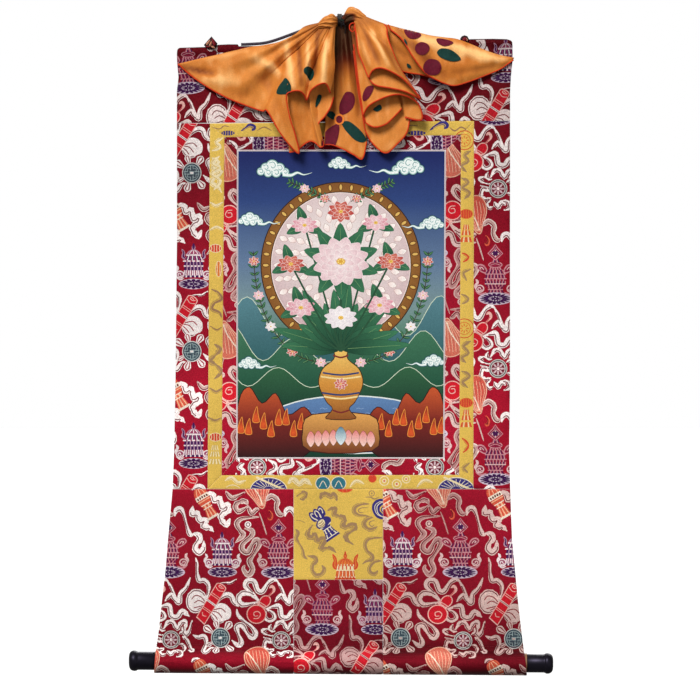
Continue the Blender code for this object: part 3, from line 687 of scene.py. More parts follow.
def coin():
    drawn = discs(0, 0, ("coin_edge", 9.7, 10.4), ("coin", 8.8, 9.5), sides=28)
    drawn += discs(0, 0, ("coin_line", 7.3, 8), ("coin", 6.7, 7.4), sides=24)
    fret = line("coin_line", ((1.2, -7.6), (1.2, -4.2), (4.4, -4.2), (4.4, -1.4), (2.6, -1.4)), 0.33, 1)
    fret += line("coin_line", ((-1.2, -7.6), (-1.2, -2.8)), 0.33, 1)
    for angle in angles(4):
        drawn += moved(fret, turn=angle)
    for paint, x, y in (("coin_line", 2.2, 1.6), ("cloud", 1.5, 0.9)):
        drawn.append((paint, [(-x, -y), (x, -y), (x, y), (-x, y)]))
    return drawn


def wheel():
    drawn = discs(0, 0, ("wheel_edge", 9.3), ("wheel_dark", 8.4), ("wheel_edge", 7.6), sides=28)
    drawn += disc("wheel", 0, 0, 6.6, sides=24)
    for angle in angles(8):
        drawn += disc("wheel_spoke", *spot(0, 0, 4.1, 4.1, angle), 2.3, 0.95, angle, 8)
        between = angle + math.pi / 8
        drawn += disc("wheel_dark", *spot(0, 0, 5, 5, between), 0.9, 0.6, between, 6)
    return drawn + disc("cloud", 0, 0, 1.6, sides=10)


def conch():
    """Its centre is the middle of the shell; the pointed end lies below."""
    outline = ((-9, -16), (-2, -20), (6, -19.6), (11.6, -13), (12.8, -3), (9.6, 8), (7.4, 17),
               (3, 17.6), (-4, 9), (-11, 0.6), (-12.6, -8))
    drawn = rimmed("conch_line", "conch", outline, 0.9)
    for number in range(7):
        share = (number - 3) / 3
        drawn += line("conch_line", ((share * 9.4 - 1, -15.4 + 3.2 * share * share), (share * 10 + 0.4, -4),
                                     (share * 5.6 + 2.4, 7), (share * 1.8 + 4.8, 15.4)), 0.28)
    drawn += line("conch_pale", ((-10, -12), (-4, -4), (2, 5), (5.4, 14)), 0.6)
    return drawn


# Ribbons round the motifs: their paint, width, how lumpy their edges are, and their points.
RIBBONS = (
    ("cloud", 4.6, 0, ((62, -56), (63.5, -62), (68, -63.5), (71.5, -58), (74, -49), (77.5, -38.5),
                       (81.5, -37))),
    ("cloud", 5.4, 0.1, ((-31, -38.5), (-25, -37.5), (-23, -33), (-26.5, -28.5), (-28, -23.5), (-24, -19.5),
                         (-19.5, -23.5), (-19, -31.5))),
    ("cloud", 4.2, 0.1, ((-27.5, -14.5), (-26, -8.5), (-26, -0.5), (-24, 8.5), (-18.5, 8.5), (-14, 13.5),
                         (-14.5, 21),
                         (-17, 30))),
    ("cloud", 4.6, 0, ((54, 8.5), (58.5, 16), (63.5, 28.5), (67, 31), (68, 22.5), (74, 16), (78.5, 5.5))),
    ("cloud", 3.6, 0, ((52, 30), (58.5, 23), (61, 27.5), (64.5, 31))),
    ("cloud", 4.6, 0.1, ((43, 37.5), (50.5, 35), (56.5, 35), (58.5, 44.5), (65, 46), (70, 40),
                         (77.5, 45.5))),
    ("silver", 4.6, 0, ((36.5, -55.5), (27.5, -55), (18.5, -53.5), (14.5, -48.5), (18, -41.5), (21, -37.5),
                          (13, -29.5))),
    ("silver", 5, 0, ((22, -44), (29.5, -42), (29, -36.5), (20.5, -28.5), (20, -22.5), (25.5, -20),
                      (30, -28.5),
                          (34.5, -32.5), (36.5, -27.5), (30, -16), (27, -11), (30, -3), (26, 3), (21, -3),
                          (22.5, -7))),
    ("silver", 4.2, 0.1, ((3.5, -81.5), (9.5, -74.5), (16, -77), (23, -80.5))),
    ("silver", 4.4, 0.2, ((25.5, -67.5), (22.5, -71.5), (16, -70), (13, -66.5), (16, -61), (22.5, -64),
                          (26, -67))),
    ("silver", 3.8, 0.1, ((26, -66.5), (29, -59), (34, -63), (36.5, -62.5))),
    ("silver", 4.6, 0.1, ((43, -71.5), (48.5, -76.5), (54.5, -72), (53.5, -64.5), (57, -58), (61.5, -58.5))),
    ("silver", 2.2, 0, ((36.5, -60), (40, -50.5), (44, -37.5))),
    ("cloud", 4.6, 0, ((36.5, 28.5), (30, 21), (23.5, 14.5), (25, 9), (31.5, 9.5), (35, 18.5), (40, 19.5),
                         (45.5, 11), (51, 7.5), (55.5, 9.5))),
    ("cloud", 4.6, 0.2, ((36, 29.5), (29, 22.5), (20, 21.5), (16, 27.5), (20, 33), (29, 32), (36, 30))),
    ("cloud", 3.4, 0.1, ((43, 37), (50, 41.5), (51.5, 46.5), (46.5, 49), (42.5, 45.5), (43.5, 39.5))),
    ("cloud", 5.6, 0.15, ((-17, 31), (-20.5, 23), (-28, 20.5), (-34, 26), (-33.5, 35), (-27.5, 39),
                          (-21, 35.5),
                          (-17, 32.5))),
    ("cloud", 2.4, 0, ((-17, 32), (-23, 25.5), (-28, 28.5), (-26, 34), (-19, 33))),
    ("cloud", 4.8, 0, ((-8, 35), (-3, 27.5), (4.5, 23), (9.5, 25), (11.5, 30.5), (16.5, 35))),
    ("cloud", 4.6, 0.1, ((-9.5, 36.5), (-0.5, 34), (6, 39), (5, 46), (-1, 42), (-8, 37.5))),
    ("cloud", 4.2, 0.1, ((-12, 39.5), (-7.5, 48), (-0.5, 49.5), (-3, 42.5), (-9.5, 37.5))),
    ("cloud", 2.8, 0.1, ((-2, 11.5), (3.5, 11), (8.5, 11), (14.5, 7))),
    ("cloud", 4, 0, ((-30.5, 64), (-25, 66.5), (-18.5, 65.5), (-16.5, 72), (-19.5, 81), (-17, 85),
                     (-12, 78.5),
                         (-8, 77))),
    ("cloud", 4.6, 0, ((14.5, 37.5), (16, 44), (22.5, 50.5), (29, 55.5), (33, 62), (30, 66.5), (25, 62),
                       (20, 54),
                         (14.5, 55.5), (16, 63), (19, 71), (16, 74.5), (9.5, 69))),
    ("cloud", 3.6, 0.3, ((50.5, 58.5), (55.5, 51), (60.5, 51.5), (64.5, 58), (69, 51.5), (73.5, 51),
                         (73, 59.5))),
    ("cloud", 4.2, 0.35, ((70, 65.5), (75, 69.5), (79, 78.5), (81.5, 82.5), (76, 81))),
    ("cloud", 3.8, 0.2, ((69.5, 56.5), (74, 63.5), (77.5, 59.5), (80.5, 49))),
    ("cloud", 3.8, 0.3, ((54.5, 82), (58, 87.5), (62, 83), (66, 85.5))),
    ("cloud", 3.2, 0.3, ((50.5, 64.5), (43.5, 62.5), (40, 59.5), (46, 57.5))),
    ("cloud", 3.2, 0.35, ((50, 72), (43.5, 69.5), (41.5, 77), (46.5, 79.5), (51.5, 78))),
    ("cloud", 2.8, 0.3, ((50, 68), (45.5, 66.5), (40.5, 66))),
    ("cloud", 2.8, 0.3, ((51.5, 79.5), (47, 84), (49.5, 88.5), (53.5, 87))),
    ("cloud", 3, 0.3, ((62.5, 81), (68.5, 82.5), (69.5, 88), (64, 90.5))),
    ("cloud", 3, 0.3, ((67, 73.5), (71.5, 75), (72.5, 80), (70, 84))),
    ("cloud", 2.8, 0.3, ((52.5, 60), (47, 58), (48.5, 52.5))),
    ("cloud", 2.8, 0.3, ((66.5, 63), (71, 60.5), (70, 56))),
    ("cloud", 5.2, 0.35, ((-16, -79.5), (-10, -78.5), (-8, -72.5), (-2.5, -73.5), (-0.5, -65), (5, -67.5),
                          (6, -62),
                          (-0.5, -58), (-0.5, -52.5), (4.5, -48), (8, -54))),
    ("cloud", 5.2, 0.35, ((-30.5, -66.5), (-31, -58.5), (-25.5, -58.5), (-23.5, -51.5), (-17, -52.5),
                          (-19.5, -45.5),
                          (-13.5, -45), (-8.5, -40.5))),
    ("cloud", 3.2, 0.2, ((-31.5, -82.5), (-27.5, -85.5), (-20.5, -84))),
    ("vase", 2.6, 0, ((46, -62.5), (49, -58), (48, -53.5), (45, -54.5))),
)

CELL = (111.5, 178)         # the repeat of the pattern, in steps


def pattern_cell():
    """One repeat of the brocade, round the lotus under the umbrella."""
    drawn = []
    for paint, width, lumps, points in RIBBONS:
        drawn += ribbon(paint, points, width, lumps, line="inline")
    for way, reach, wide in ((-2.55, 21, 4.4), (-1.85, 19, 3.4), (-1, 20, 4.2), (1.85, 20, 4),
                             (0.9, 20, 4.4), (2.6, 17, 2.6)):
        for paint, size in (("cloud", 1), ("ground", 0.62), ("cloud", 0.3)):
            leaf_line = [(reach * u, wide * v * size) for u, v in ((0.5 - 0.1 * size, 0), (0.66, 0.7),
                                                                   (0.85, 0.9))]
            leaf_line.append((reach * (0.88 + 0.12 * size), 0))
            leaf_line += [(x, -y) for x, y in leaf_line[-2:0:-1]]
            drawn += moved(shape(paint, leaf_line, 2), -1.8, 66.9, way)
    for petal, folds in (
        (((-16.5, 31), (-20.5, 22.4), (-28, 19.4), (-35, 25), (-34.6, 35.6), (-27.5, 40), (-20.6, 37)),
         (((-18, 30), (-22, 25.4), (-28, 24), (-31.6, 28)), ((-18, 32), (-24, 29), (-29, 31.6)),
          ((-18.6, 34), (-24, 35.4), (-29.6, 36.6)), ((-20.6, 36), (-25.6, 38.4)))),
        (((-9.5, 37), (-0.5, 33), (7, 38.6), (6.4, 46.6), (0, 50.4), (-7.8, 48.6), (-12.4, 40)),
         (((-8.6, 38.6), (-1, 37), (3.6, 41)), ((-9.6, 40), (-4, 41.4), (0, 46.4)),
          ((-10.4, 42), (-7, 45), (-4.6, 48.4)))),
    ):
        drawn += shape("cloud", petal, 3)
        for fold in folds:
            drawn += line("ground", fold, 0.5, 3)
    drawn += disc("cloud", 25.6, -47.9, 3.3) + disc("inline", 25.6, -47.9, 2.2, sides=10)
    drawn += disc("cloud", 25.6, -47.9, 1.5, sides=8)
    drawn += umbrella()
    drawn += moved(treasure_stack(), x=CELL[0] / 2)
    drawn += moved(slanted_vase(), -25.6, -84, -0.52)
    drawn += moved(scroll_bundle(), 0.4, 12.6, 0.552)
    drawn += moved(gourd(), 33.9, 42.7)
    drawn += moved(coin(), -1.8, 66.9)
    drawn += moved(wheel(), 58.4, 69.2)
    drawn += moved(conch(), 34.4, 96)
    return drawn


STEP = 1.6                    # the weaver's step, in millimetres
SEAM_SHOWN = 0.06             # what is left open between two sewn sheets
HALF_SHOWN = SEAM_SHOWN / 2
RED_BACK = (110, 34, 48)
RED_THREADS = {
    "ground": (156, 16, 40), "cloud": (254, 245, 241), "silver": (196, 162, 154),
    "silver_edge": (236, 218, 210),
    "inline": (98, 10, 28), "vase": (216, 92, 66), "vase_line": (240, 184, 146),
    "vase_pale": (240, 226, 206),
    "vase_dark": (84, 14, 30), "umb_edge": (176, 140, 162), "umb_dark": (50, 28, 84),
    "umb_mid": (150, 60, 96),
    "umb_pale": (236, 222, 222), "stk_edge": (202, 140, 148), "stk_dark": (50, 22, 74),
    "stk_mid": (136, 30, 60),
    "stk_pale": (224, 190, 188), "lotus": (30, 20, 74), "lotus_edge": (206, 190, 206),
    "conch": (206, 88, 72),
    "conch_line": (236, 184, 156), "conch_pale": (240, 220, 196), "scarlet": (208, 30, 44),
    "scarlet_line": (240, 186, 176), "coin": (40, 84, 94), "coin_line": (166, 192, 192),
    "coin_edge": (214, 218, 212),
    "wheel": (130, 26, 50), "wheel_dark": (46, 42, 50), "wheel_edge": (200, 204, 198),
    "wheel_spoke": (214, 192, 196),
}
# Darker copies of the palette are painted shade, where the satin catches less light: a little on the top
# panel, and more on the lower middle one, whose ribbons are greyer as well. The right palette has tan-pink
# ribbons.
TOP_THREADS = dict(RED_THREADS, ground=(140, 12, 32), cloud=(248, 232, 227))
DIM_THREADS = dict(RED_THREADS, ground=(138, 14, 38), cloud=(198, 160, 156), silver=(160, 112, 114),
                   silver_edge=(190, 152, 150), stk_edge=(176, 116, 128), umb_pale=(204, 176, 182))
RIGHT_THREADS = dict(RED_THREADS, ground=(156, 18, 42), cloud=(222, 192, 184), silver=(178, 132, 128),
                     silver_edge=(212, 178, 170), conch=(206, 110, 90))
RED_GROUNDS = {palette["ground"] for palette in (RED_THREADS, TOP_THREADS, DIM_THREADS, RIGHT_THREADS)}

CELL_SHAPES = pattern_cell()
CELL_POINTS = np.array([point for _, points in CELL_SHAPES for point in points])
CELL_STARTS = np.cumsum([0] + [len(points) for _, points in CELL_SHAPES])


def stretch(values, marks):
    """Steps of the draft turned to millimetres by marks (step, place), and evenly beyond them."""
    steps, places = zip(*marks)
    before = np.minimum(values - steps[0], 0) * STEP
    after = np.maximum(values - steps[-1], 0) * STEP
    return np.interp(values, steps, places) + before + after


def meets(xs, drops, box):
    """Whether points reach into a box."""
    return xs.max() > box[0] and xs.min() < box[2] and drops.max() > box[1] and drops.min() < box[3]


def brocade(columns, rows, box, palette, turn=0, lean=0):
    """The pattern's shapes over a box of cloth (x, s, x, s). turn counts quarter turns."""
    drawn = []
    for down in range(-5, 6):
        for across in range(-5, 6):
            steps = CELL_POINTS + (across * CELL[0], down * CELL[1])
            u, v = stretch(steps[:, 0], columns), stretch(steps[:, 1], rows)
            x, s = ((u, v), (-v, u), (-u, -v), (v, -u))[turn]
            s = s + lean * x
            if not meets(x, s, box):
                continue
            for (paint, _), start, end in zip(CELL_SHAPES, CELL_STARTS, CELL_STARTS[1:]):
                if meets(x[start:end], s[start:end], box):
                    drawn.append((palette[paint], np.column_stack((x[start:end], s[start:end]))))
    return drawn


# The square of yellow brocade and the yellow strips hold larger parts of a like pattern, placed
# one by one: colour, width, lumpiness and points in millimetres.
YELLOW_TONES = {"tan": (158, 124, 90), "brown": (150, 112, 84), "cream": (232, 214, 172),
                "navy": (36, 32, 118),
                "red": (206, 56, 44), "blue": (30, 112, 132), "pale": (232, 220, 196),
                "gold": (206, 168, 74),
                "orange": (214, 112, 52), "ground": (220, 182, 84), "dull": (206, 172, 72)}
PATCH_RIBBONS = (
    (7, 0.35, ((-25, 795), (-18, 791), (-12, 793), (-15, 799), (-7, 804), (0, 805), (2, 813), (-2, 817),
                      (4, 821), (15, 817), (20, 821), (12, 828), (5, 833), (6, 841), (17, 849))),
    (7, 0.35, ((-48, 817), (-53, 824), (-57, 833), (-51, 838), (-45, 833), (-41, 844), (-35, 840),
                      (-29, 841), (-36, 855), (-27, 855), (-19, 855), (-11, 862))),
    (5, 0.35, ((-75, 772), (-68, 768), (-62, 765), (-59, 770), (-65, 776), (-69, 775))),
    (7, 0.3, ((-36, 777), (-34, 770), (-27, 768), (-20, 772), (-15, 769), (-11, 774), (-10, 779))),
    (6, 0, ((42, 784), (29, 784), (19, 789), (18, 797), (25, 802), (35, 803), (46, 806))),
    (1.6, 0, ((41, 790), (31, 790), (25, 793), (26, 797), (33, 798))),
    (6.5, 0.15, ((48, 805), (38, 808), (33, 816), (38, 823), (46, 825), (55, 820))),
    (1.6, 0, ((51, 810), (44, 812), (42, 816), (46, 820), (50, 817))),
    (2, 0, ((35, 773), (44, 773), (50, 776), (58, 773))),
    (5.5, 0, ((-76, 824), (-72, 830), (-75, 839), (-70, 848), (-65, 857), (-63, 867), (-57, 872))),
    (6, 0, ((-57, 867), (-46, 869), (-43, 875), (-49, 882), (-49, 891), (-43, 898), (-34, 896), (-30, 888),
                   (-34, 882))),
    (2.6, 0, ((-75, 810), (-68, 811), (-61, 814))),
    (6, 0, ((63, 838), (50, 838), (40, 840), (35, 848), (38, 859), (46, 866), (46, 872), (38, 875),
                   (31, 880))),
    (5.5, 0, ((62, 875), (50, 876), (42, 886), (44, 894), (51, 896), (56, 890))),
)
STRIP_RIBBONS = (
    ("navy", 5.5, 0, ((-163, 187), (-155, 182), (-149, 178), (-142, 181), (-146, 187))),
    ("navy", 6.5, 0, ((139, 186), (150, 178), (160, 174), (166, 178), (162, 184))),
    ("brown", 1.6, 0, ((-210, 181), (-198, 184), (-190, 179), (-181, 181))),
    ("brown", 1.8, 0, ((-138, 187), (-126, 181), (-114, 187))),
    ("brown", 2, 0, ((170, 181), (179, 187), (189, 181), (200, 187))),
    ("brown", 2, 0, ((98, 181), (107, 178), (120, 179))),
    ("cream", 5, 0.1, ((-192, 198), (-203, 205), (-197, 213), (-210, 219))),
    ("cream", 6, 0.35, ((-210, 230), (-200, 237), (-208, 246), (-195, 253), (-205, 261), (-211, 270),
                        (-200, 277),
                        (-194, 286))),
    ("cream", 5, 0.35, ((-197, 227), (-209, 239), (-197, 246), (-210, 256), (-197, 267), (-207, 282))),
    ("cream", 4.5, 0, ((-213, 301), (-203, 307), (-192, 301))),
    ("cream", 4.5, 0, ((-213, 346), (-202, 341), (-190, 347))),
    ("brown", 5, 0, ((-211, 440), (-200, 446), (-195, 456), (-206, 462), (-210, 472), (-198, 478),
                     (-194, 486))),
    ("brown", 3, 0, ((-213, 499), (-202, 506), (-194, 501))),
    ("tan", 6, 0.35, ((-206, 528), (-197, 536), (-205, 546), (-213, 555), (-202, 563), (-195, 573),
                      (-206, 584))),
    ("tan", 4.5, 0, ((-214, 598), (-203, 605), (-192, 598))),
    ("tan", 4.5, 0, ((-216, 645), (-205, 651), (-194, 646))),
    ("tan", 5, 0, ((205, 219), (194, 226), (200, 235), (189, 243), (198, 253))),
    ("tan", 5, 0, ((189, 262), (200, 269), (190, 278), (202, 286), (194, 296))),
    ("red", 4, 0.2, ((190, 382), (200, 389), (192, 397))),
    ("red", 4, 0.2, ((190, 678), (200, 690), (192, 702))),
    ("tan", 4.5, 0, ((205, 408), (192, 414), (198, 427))),
    ("tan", 4.5, 0, ((189, 448), (200, 456), (190, 464))),
    ("tan", 5, 0.1, ((205, 523), (192, 531), (200, 542), (189, 550), (197, 558))),
    ("tan", 5, 0.1, ((189, 571), (202, 579), (190, 589), (200, 598))),
    ("tan", 4.5, 0, ((203, 718), (192, 726), (200, 734))),
    ("cream", 5, 0, ((-189, 747), (-178, 742), (-168, 750), (-155, 746))),
    ("cream", 3, 0, ((-187, 757), (-176, 754), (-165, 758))),
    ("cream", 6.5, 0.35, ((-88, 752), (-80, 744), (-70, 752), (-61, 746), (-50, 754))),
    ("cream", 4.5, 0, ((11, 757), (21, 747), (34, 752))),
    ("cream", 4.5, 0, ((118, 757), (130, 746), (144, 750))),
)


def striped(fill, lines, x, y, wide, tall, count=4):
    """An oval with lines across it."""
    drawn = discs(x, y, (lines, wide, tall), (fill, wide - 0.9, tall - 0.9), sides=20)
    for number in range(count):
        u = (number + 0.5) / count * 2 - 1
        reach = tall * math.sqrt(1 - u * u * 0.8)
        drawn += line(lines, ((x + u * wide, y - reach), (x + u * wide * 0.8, y), (x + u * wide,
                                                                                   y + reach)), 0.5)
    return drawn


def yellow_vase():
    """Drawn upright, its petals at the top, 35 steps tall."""
    drawn = []
    for x, lean in ((-6, -0.34), (6, 0.34), (0, 0)):
        petals = shape("navy", ((-3.8, 10), (-3.8, 4), (0, -1), (3.8, 4), (3.8, 10)), 3)
        petals += line("pale", ((-1.6, 8.4), (-1.8, 4.2), (0, 1.6), (1.8, 4.2), (1.6, 8.4)), 0.5)
        drawn += moved(petals, x, 0.4 * abs(x) / 6, lean)
    drawn += tiers(((8, 12, 7.4, 4.4, ("navy", "pale", "navy", "navy"), 9), (12, 12.8, 4.6, 5, ("pale",),
                                                                             1)))
    drawn += disc("navy", 0.4, 16.4, 8.6, 5.6)
    drawn += shape("cream", ((-6.6, 16), (-3.6, 12.6), (1.4, 12.8), (2, 16.4), (-0.6, 19.6), (-4.8, 19.4)),
                   3)
    for y in (14.4, 16.6, 18.4):
        drawn += line("tan", ((-5.4, y), (-2, y + 0.6), (0.8, y - 0.4)), 0.45)
    drawn += line("pale", ((-6.4, 20), (0, 21.8), (6.6, 20)), 0.5)
    return drawn + tiers((
        (21, 23, 5, 4.6, ("navy",), 1), (23, 23.8, 5, 5, ("pale",), 1),
        (23.8, 28, 4.8, 5.6, ("navy", "pale", "navy"), 9), (28, 28.8, 5.8, 6, ("navy",), 1),
        (28.8, 32, 5.8, 7.2, ("navy", "pale", "navy", "navy"), 11), (32, 32.8, 7.4, 7.6, ("pale",), 1),
        (32.8, 35, 7.6, 8.4, ("navy",), 1),
    ))


def red_tent():
    """Its roof and the upper part of its wall, which runs on below the cut of the cloth."""
    drawn = []
    for side in (-1, 1):
        drawn += ribbon("red", mirrored(side, (12, -11), (17.4, -17), (15.8, -26), (20.2, -36)), 6)
        drawn += ribbon("orange", mirrored(side, (13, -12.6), (17, -17.6), (16, -26), (19, -33)), 2.2)
    drawn += tiers((
        (-20, -16.6, 13.6, 14, ("red", "cream", "orange"), 17), (-16.6, -11, 13, 13.6, ("cream", "red",
                                                                                        "cream"), 13),
        (-11, -9.4, 14.6, 14.6, ("cream",), 1), (-9.4, 0, 14, 15.6, ("red", "orange", "red", "cream"), 21),
        (0, 1.6, 16.4, 16.4, ("cream", "red"), 15), (1.6, 12, 15.6, 20, ("red", "red", "orange"), 17),
    ))
    drawn += shape("orange", ((-13.4, -19.4), (-9, -26.4), (0, -29.6), (9, -26.4), (13.4, -19.4),
                              (0, -20.4)), 3)
    for x in (-6.4, -2.4, 2.4, 6.4):
        drawn += line("red", ((x * 1.3, -20.4), (x, -24.6), (x * 0.3, -28.6)), 0.6)
    drawn += disc("red", 0, -33, 3, 4.2, sides=10) + disc("orange", 0, -33, 1.4, 2.2, sides=8)
    return drawn + disc("red", 0, -37.6, 1.4, 3, sides=8)


def yellow_patch():
    drawn = []
    for width, lumps, points in PATCH_RIBBONS:
        drawn += ribbon("tan", points, width, lumps, line="gold")
    hook = [(68, 781), (60, 781), (53, 787), (54, 797), (60, 803), (68, 805)]
    drawn += ribbon("navy", hook, 12, start=0.02, end=0.02)
    for right, down, half in ((1.6, 0.6, 0.6), (-1.8, -0.4, 0.5)):
        drawn += line("pale", [(x + right, drop + down) for x, drop in hook], half)
    drawn += discs(66, 793, ("navy", 5.4), ("pale", 3.6), ("navy", 2.6))
    drawn += striped("red", "orange", 3, 757, 14, 9)
    drawn += discs(46, 767, ("tan", 5), ("ground", 3.6)) + disc("tan", 46, 767, 1.4, sides=8)
    drawn += moved(yellow_vase(), -46, 793, -0.6, 1.56) + moved(red_tent(), 3.6, 900)
    return [(YELLOW_TONES[tone], points) for tone, points in drawn]


def yellow_strips():
    """What lies on the four yellow strips, all in one list."""
    drawn = []
    for tone, width, lumps, points in STRIP_RIBBONS:
        drawn += ribbon(tone, points, width, lumps, line="gold")
    for x, wide in ((-184, 11.5), (118, 15)):
        drawn += striped("navy", "gold", x, 190.5, wide, 4.8, 5)
    for drop in (375, 677):
        drawn += striped("red", "cream", -204, drop, 10, 7)
    drawn += striped("orange", "cream", -199, 408, 5, 13, 2)
    for top, half in ((690, 6), (700, 8), (712, 10)):
        drawn += moved(tiers(((0, 8, half * 0.7, half, ("cream", "gold"), 7),)), -205, top)
    for drop in (202, 503):
        drawn += discs(194, drop, ("red", 16), ("ground", 14.6), ("orange", 10.5), ("ground", 9.2))
        for angle in angles(8):
            drawn += disc("orange", *spot(194, drop, 5.4, 5.4, angle), 2.6, 1, angle, 8)
    for drop in (320, 622):
        drawn += striped("red", "orange", 197, drop, 11, 8, 5)
    for top in (337, 633):
        for down, half in ((0, 5), (9, 7.5), (20, 9.5)):
            band = (0, 8, half * 0.75, half, ("red", "orange", "cream", "orange"), 9)
            drawn += moved(tiers((band,)), 197, top + down)
    for x in (-119, 181):
        drawn += discs(x, 762, ("pale", 30, 21), ("navy", 28.6, 19.6), sides=32)
        for rib in range(11):
            angle = math.pi * (1.06 + 0.88 * rib / 10)
            drawn += line("pale", (spot(x, 762, 8, 6, angle), spot(x, 762, 27, 18, angle)), 0.45, 1)
        drawn += line("cream", ((x - 20, 741), (x + 24, 761)), 1.6, 1)
    for x in (-32, -7):
        drawn += discs(x, 751, ("pale", 12.4, 11.4), ("blue", 11.2, 10.2))
        drawn += line("pale", ((x - 6, 757), (x, 747), (x + 6, 757)), 0.6)
    drawn += discs(47, 743, ("orange", 7), ("red", 6))
    for x, drop, size in ((66, 747, 8), (86, 752, 8), (101, 744, 7)):
        drawn += discs(x, drop, ("cream", size), ("ground", size - 1.6), ("cream", size * 0.45))
        drawn += disc("red", x, drop, size * 0.2, sides=8)
    return [(YELLOW_TONES[tone], points) for tone, points in drawn]


# ---------------------------------------------------------------- sheets of cloth
def edge_distance(points, outline):
    """Distance of points to a closed line, and how far along it the nearest place lies."""
    ends = np.roll(outline, -1, axis=0)
    runs = ends - outline
    lengths = np.linalg.norm(runs, axis=1)
    passed = np.concatenate(([0], np.cumsum(lengths)[:-1]))
    best = np.full(len(points), 1e9)
    where = np.zeros(len(points))
    for start, run, length, before in zip(outline, runs, lengths, passed):
        share = np.clip(((points - start) @ run) / (length * length), 0, 1)
        gap = np.linalg.norm(points - start - share[:, None] * run, axis=1)
        nearer = gap < best
        best = np.where(nearer, gap, best)
        where = np.where(nearer, before + share * length, where)
    return best, where


def dotted(start, end, pitch):
    """Points from start to just before end, no more than a pitch apart."""
    steps = max(int(math.dist(start, end) / pitch + 0.999), 1)
    return [blend(start, end, step / steps) for step in range(steps)]


def divided(corners, pitch):
    """A closed line through corners, with points no more than a pitch apart."""
    return [point for pair in zip(corners, corners[1:] + corners[:1]) for point in dotted(*pair, pitch)]


def inside(points, loop):
    """Which points lie in a closed line, which may cross itself."""
    ends = np.roll(loop, -1, axis=0)
    run = ends - loop
    x, y = points[:, 0][:, None], points[:, 1][:, None]
    left = run[:, 0] * (y - loop[:, 1]) - (x - loop[:, 0]) * run[:, 1]
    up = (loop[:, 1] <= y) & (ends[:, 1] > y) & (left > 0)
    down = (loop[:, 1] > y) & (ends[:, 1] <= y) & (left < 0)
    return up.sum(axis=1) != down.sum(axis=1)


def partition(outline, shapes, grid, lines, rim=None):
    """Triangles of a sheet, and for each one the number of the shape that it shows.

    A rim is the outline with more points."""
    loops = [np.array(rim or outline)] + [np.array(points) for _, points in shapes]
    points, edges = [], []
    for loop in loops:
        first, count = len(points), len(loop)
        edges += [(first + step, first + (step + 1) % count) for step in range(count)]
        points += loop.tolist()
    low, high = loops[0].min(axis=0), loops[0].max(axis=0)
    for gap in (0.8, 2.4):
        points += grown(list(outline), -gap)
    across = np.linspace(low[0], high[0], max(int((high[0] - low[0]) / grid), 1) + 2)[1:-1]
    down = np.linspace(low[1], high[1], max(int((high[1] - low[1]) / grid), 1) + 2)[1:-1]
    points += [(x, s) for x in across for s in down]
    for s in lines:
        edges.append((len(points), len(points) + 1))
        points += [(low[0] - 1, s), (high[0] + 1, s)]
    made = delaunay_2d_cdt([Vector(point) for point in points], edges, [], 0, 0.002, False)
    places = np.array([point[:] for point in made[0]])
    triangles = np.array(made[2])
    middles = places[triangles].mean(axis=1)
    kept = inside(middles, loops[0])
    triangles, middles = triangles[kept], middles[kept]
    tops = np.zeros(len(triangles), dtype=np.int32)
    order = np.argsort(middles[:, 0])
    rising = middles[order, 0]
    for number, loop in enumerate(loops[1:], 1):
        start, end = np.searchsorted(rising, (loop[:, 0].min(), loop[:, 0].max()))
        chosen = order[start:end]
        near = chosen[(middles[chosen, 1] > loop[:, 1].min()) & (middles[chosen, 1] < loop[:, 1].max())]
        if len(near):
            tops[near[inside(middles[near], loop)]] = number
    used, renumbered = np.unique(triangles, return_inverse=True)
    return places[used], renumbered.reshape(-1, 3).tolist(), tops.tolist()


# Painted light and shade on the red satin, down the scroll and over the front of the roller: drop and share
# of light. It is darker at the top, with a painted highlight band over the roller's front and painted shade
# above and under it.
SATIN_LIGHT_AND_SHADE = ((40, 0.29), (170, 0.41), (230, 0.49), (330, 0.62), (420, 0.82), (520, 1.04), (700, 1.12),
                (765, 0.98), (860, 0.74), (960, 0.61), (1000, 0.46), (1022, 0.38), (1030, 0.58),
                (1042, 0.9), (1052, 0.62), (1062, 0.27), (1078, 0.2), (1200, 0.2))


def painted_satin_light(x, drop):
    drops, shares = zip(*SATIN_LIGHT_AND_SHADE)
    # Painted shade: darker under the cover's right wing at the top, and on the right half just above the
    # roller. The sine adds a slight wavy change in the light.
    corner = 1 - 0.45 * ease(x, 90, 220) * (1 - ease(drop, 60, 130))
    corner = corner * (1 - 0.5 * ease(x, 0, 90) * ease(drop, 990, 1012))
    return np.interp(drop, drops, shares) * corner * (1 + 0.08 * np.sin(x / 31 + drop / 47))


# From this number of triangles on, a sheet has larger ones on its back.
MANY = 100000


def facing(flat, faces):
    """The triangles, wound so that they face the viewer once their drops are turned into heights."""
    a, b, c = (flat[np.array(faces)[:, corner]] for corner in range(3))
    right = (b[:, 0] - a[:, 0]) * (c[:, 1] - a[:, 1]) - (b[:, 1] - a[:, 1]) * (c[:, 0] - a[:, 0]) < 0
    return [face if turned else face[::-1] for face, turned in zip(faces, right)]


def placed(surface, flat, side, outline):
    """A side's points in space, a little soft and puckered along the outline."""
    gap, where = edge_distance(flat, np.array(outline))
    soft = 1 - 0.7 * np.exp(-gap / 0.7)
    pucker = 0.22 * np.sin(math.tau * where / 9 + 1.7 * np.sin(where / 23)) * np.exp(-gap / 5)
    return surface(flat, side, soft, pucker)


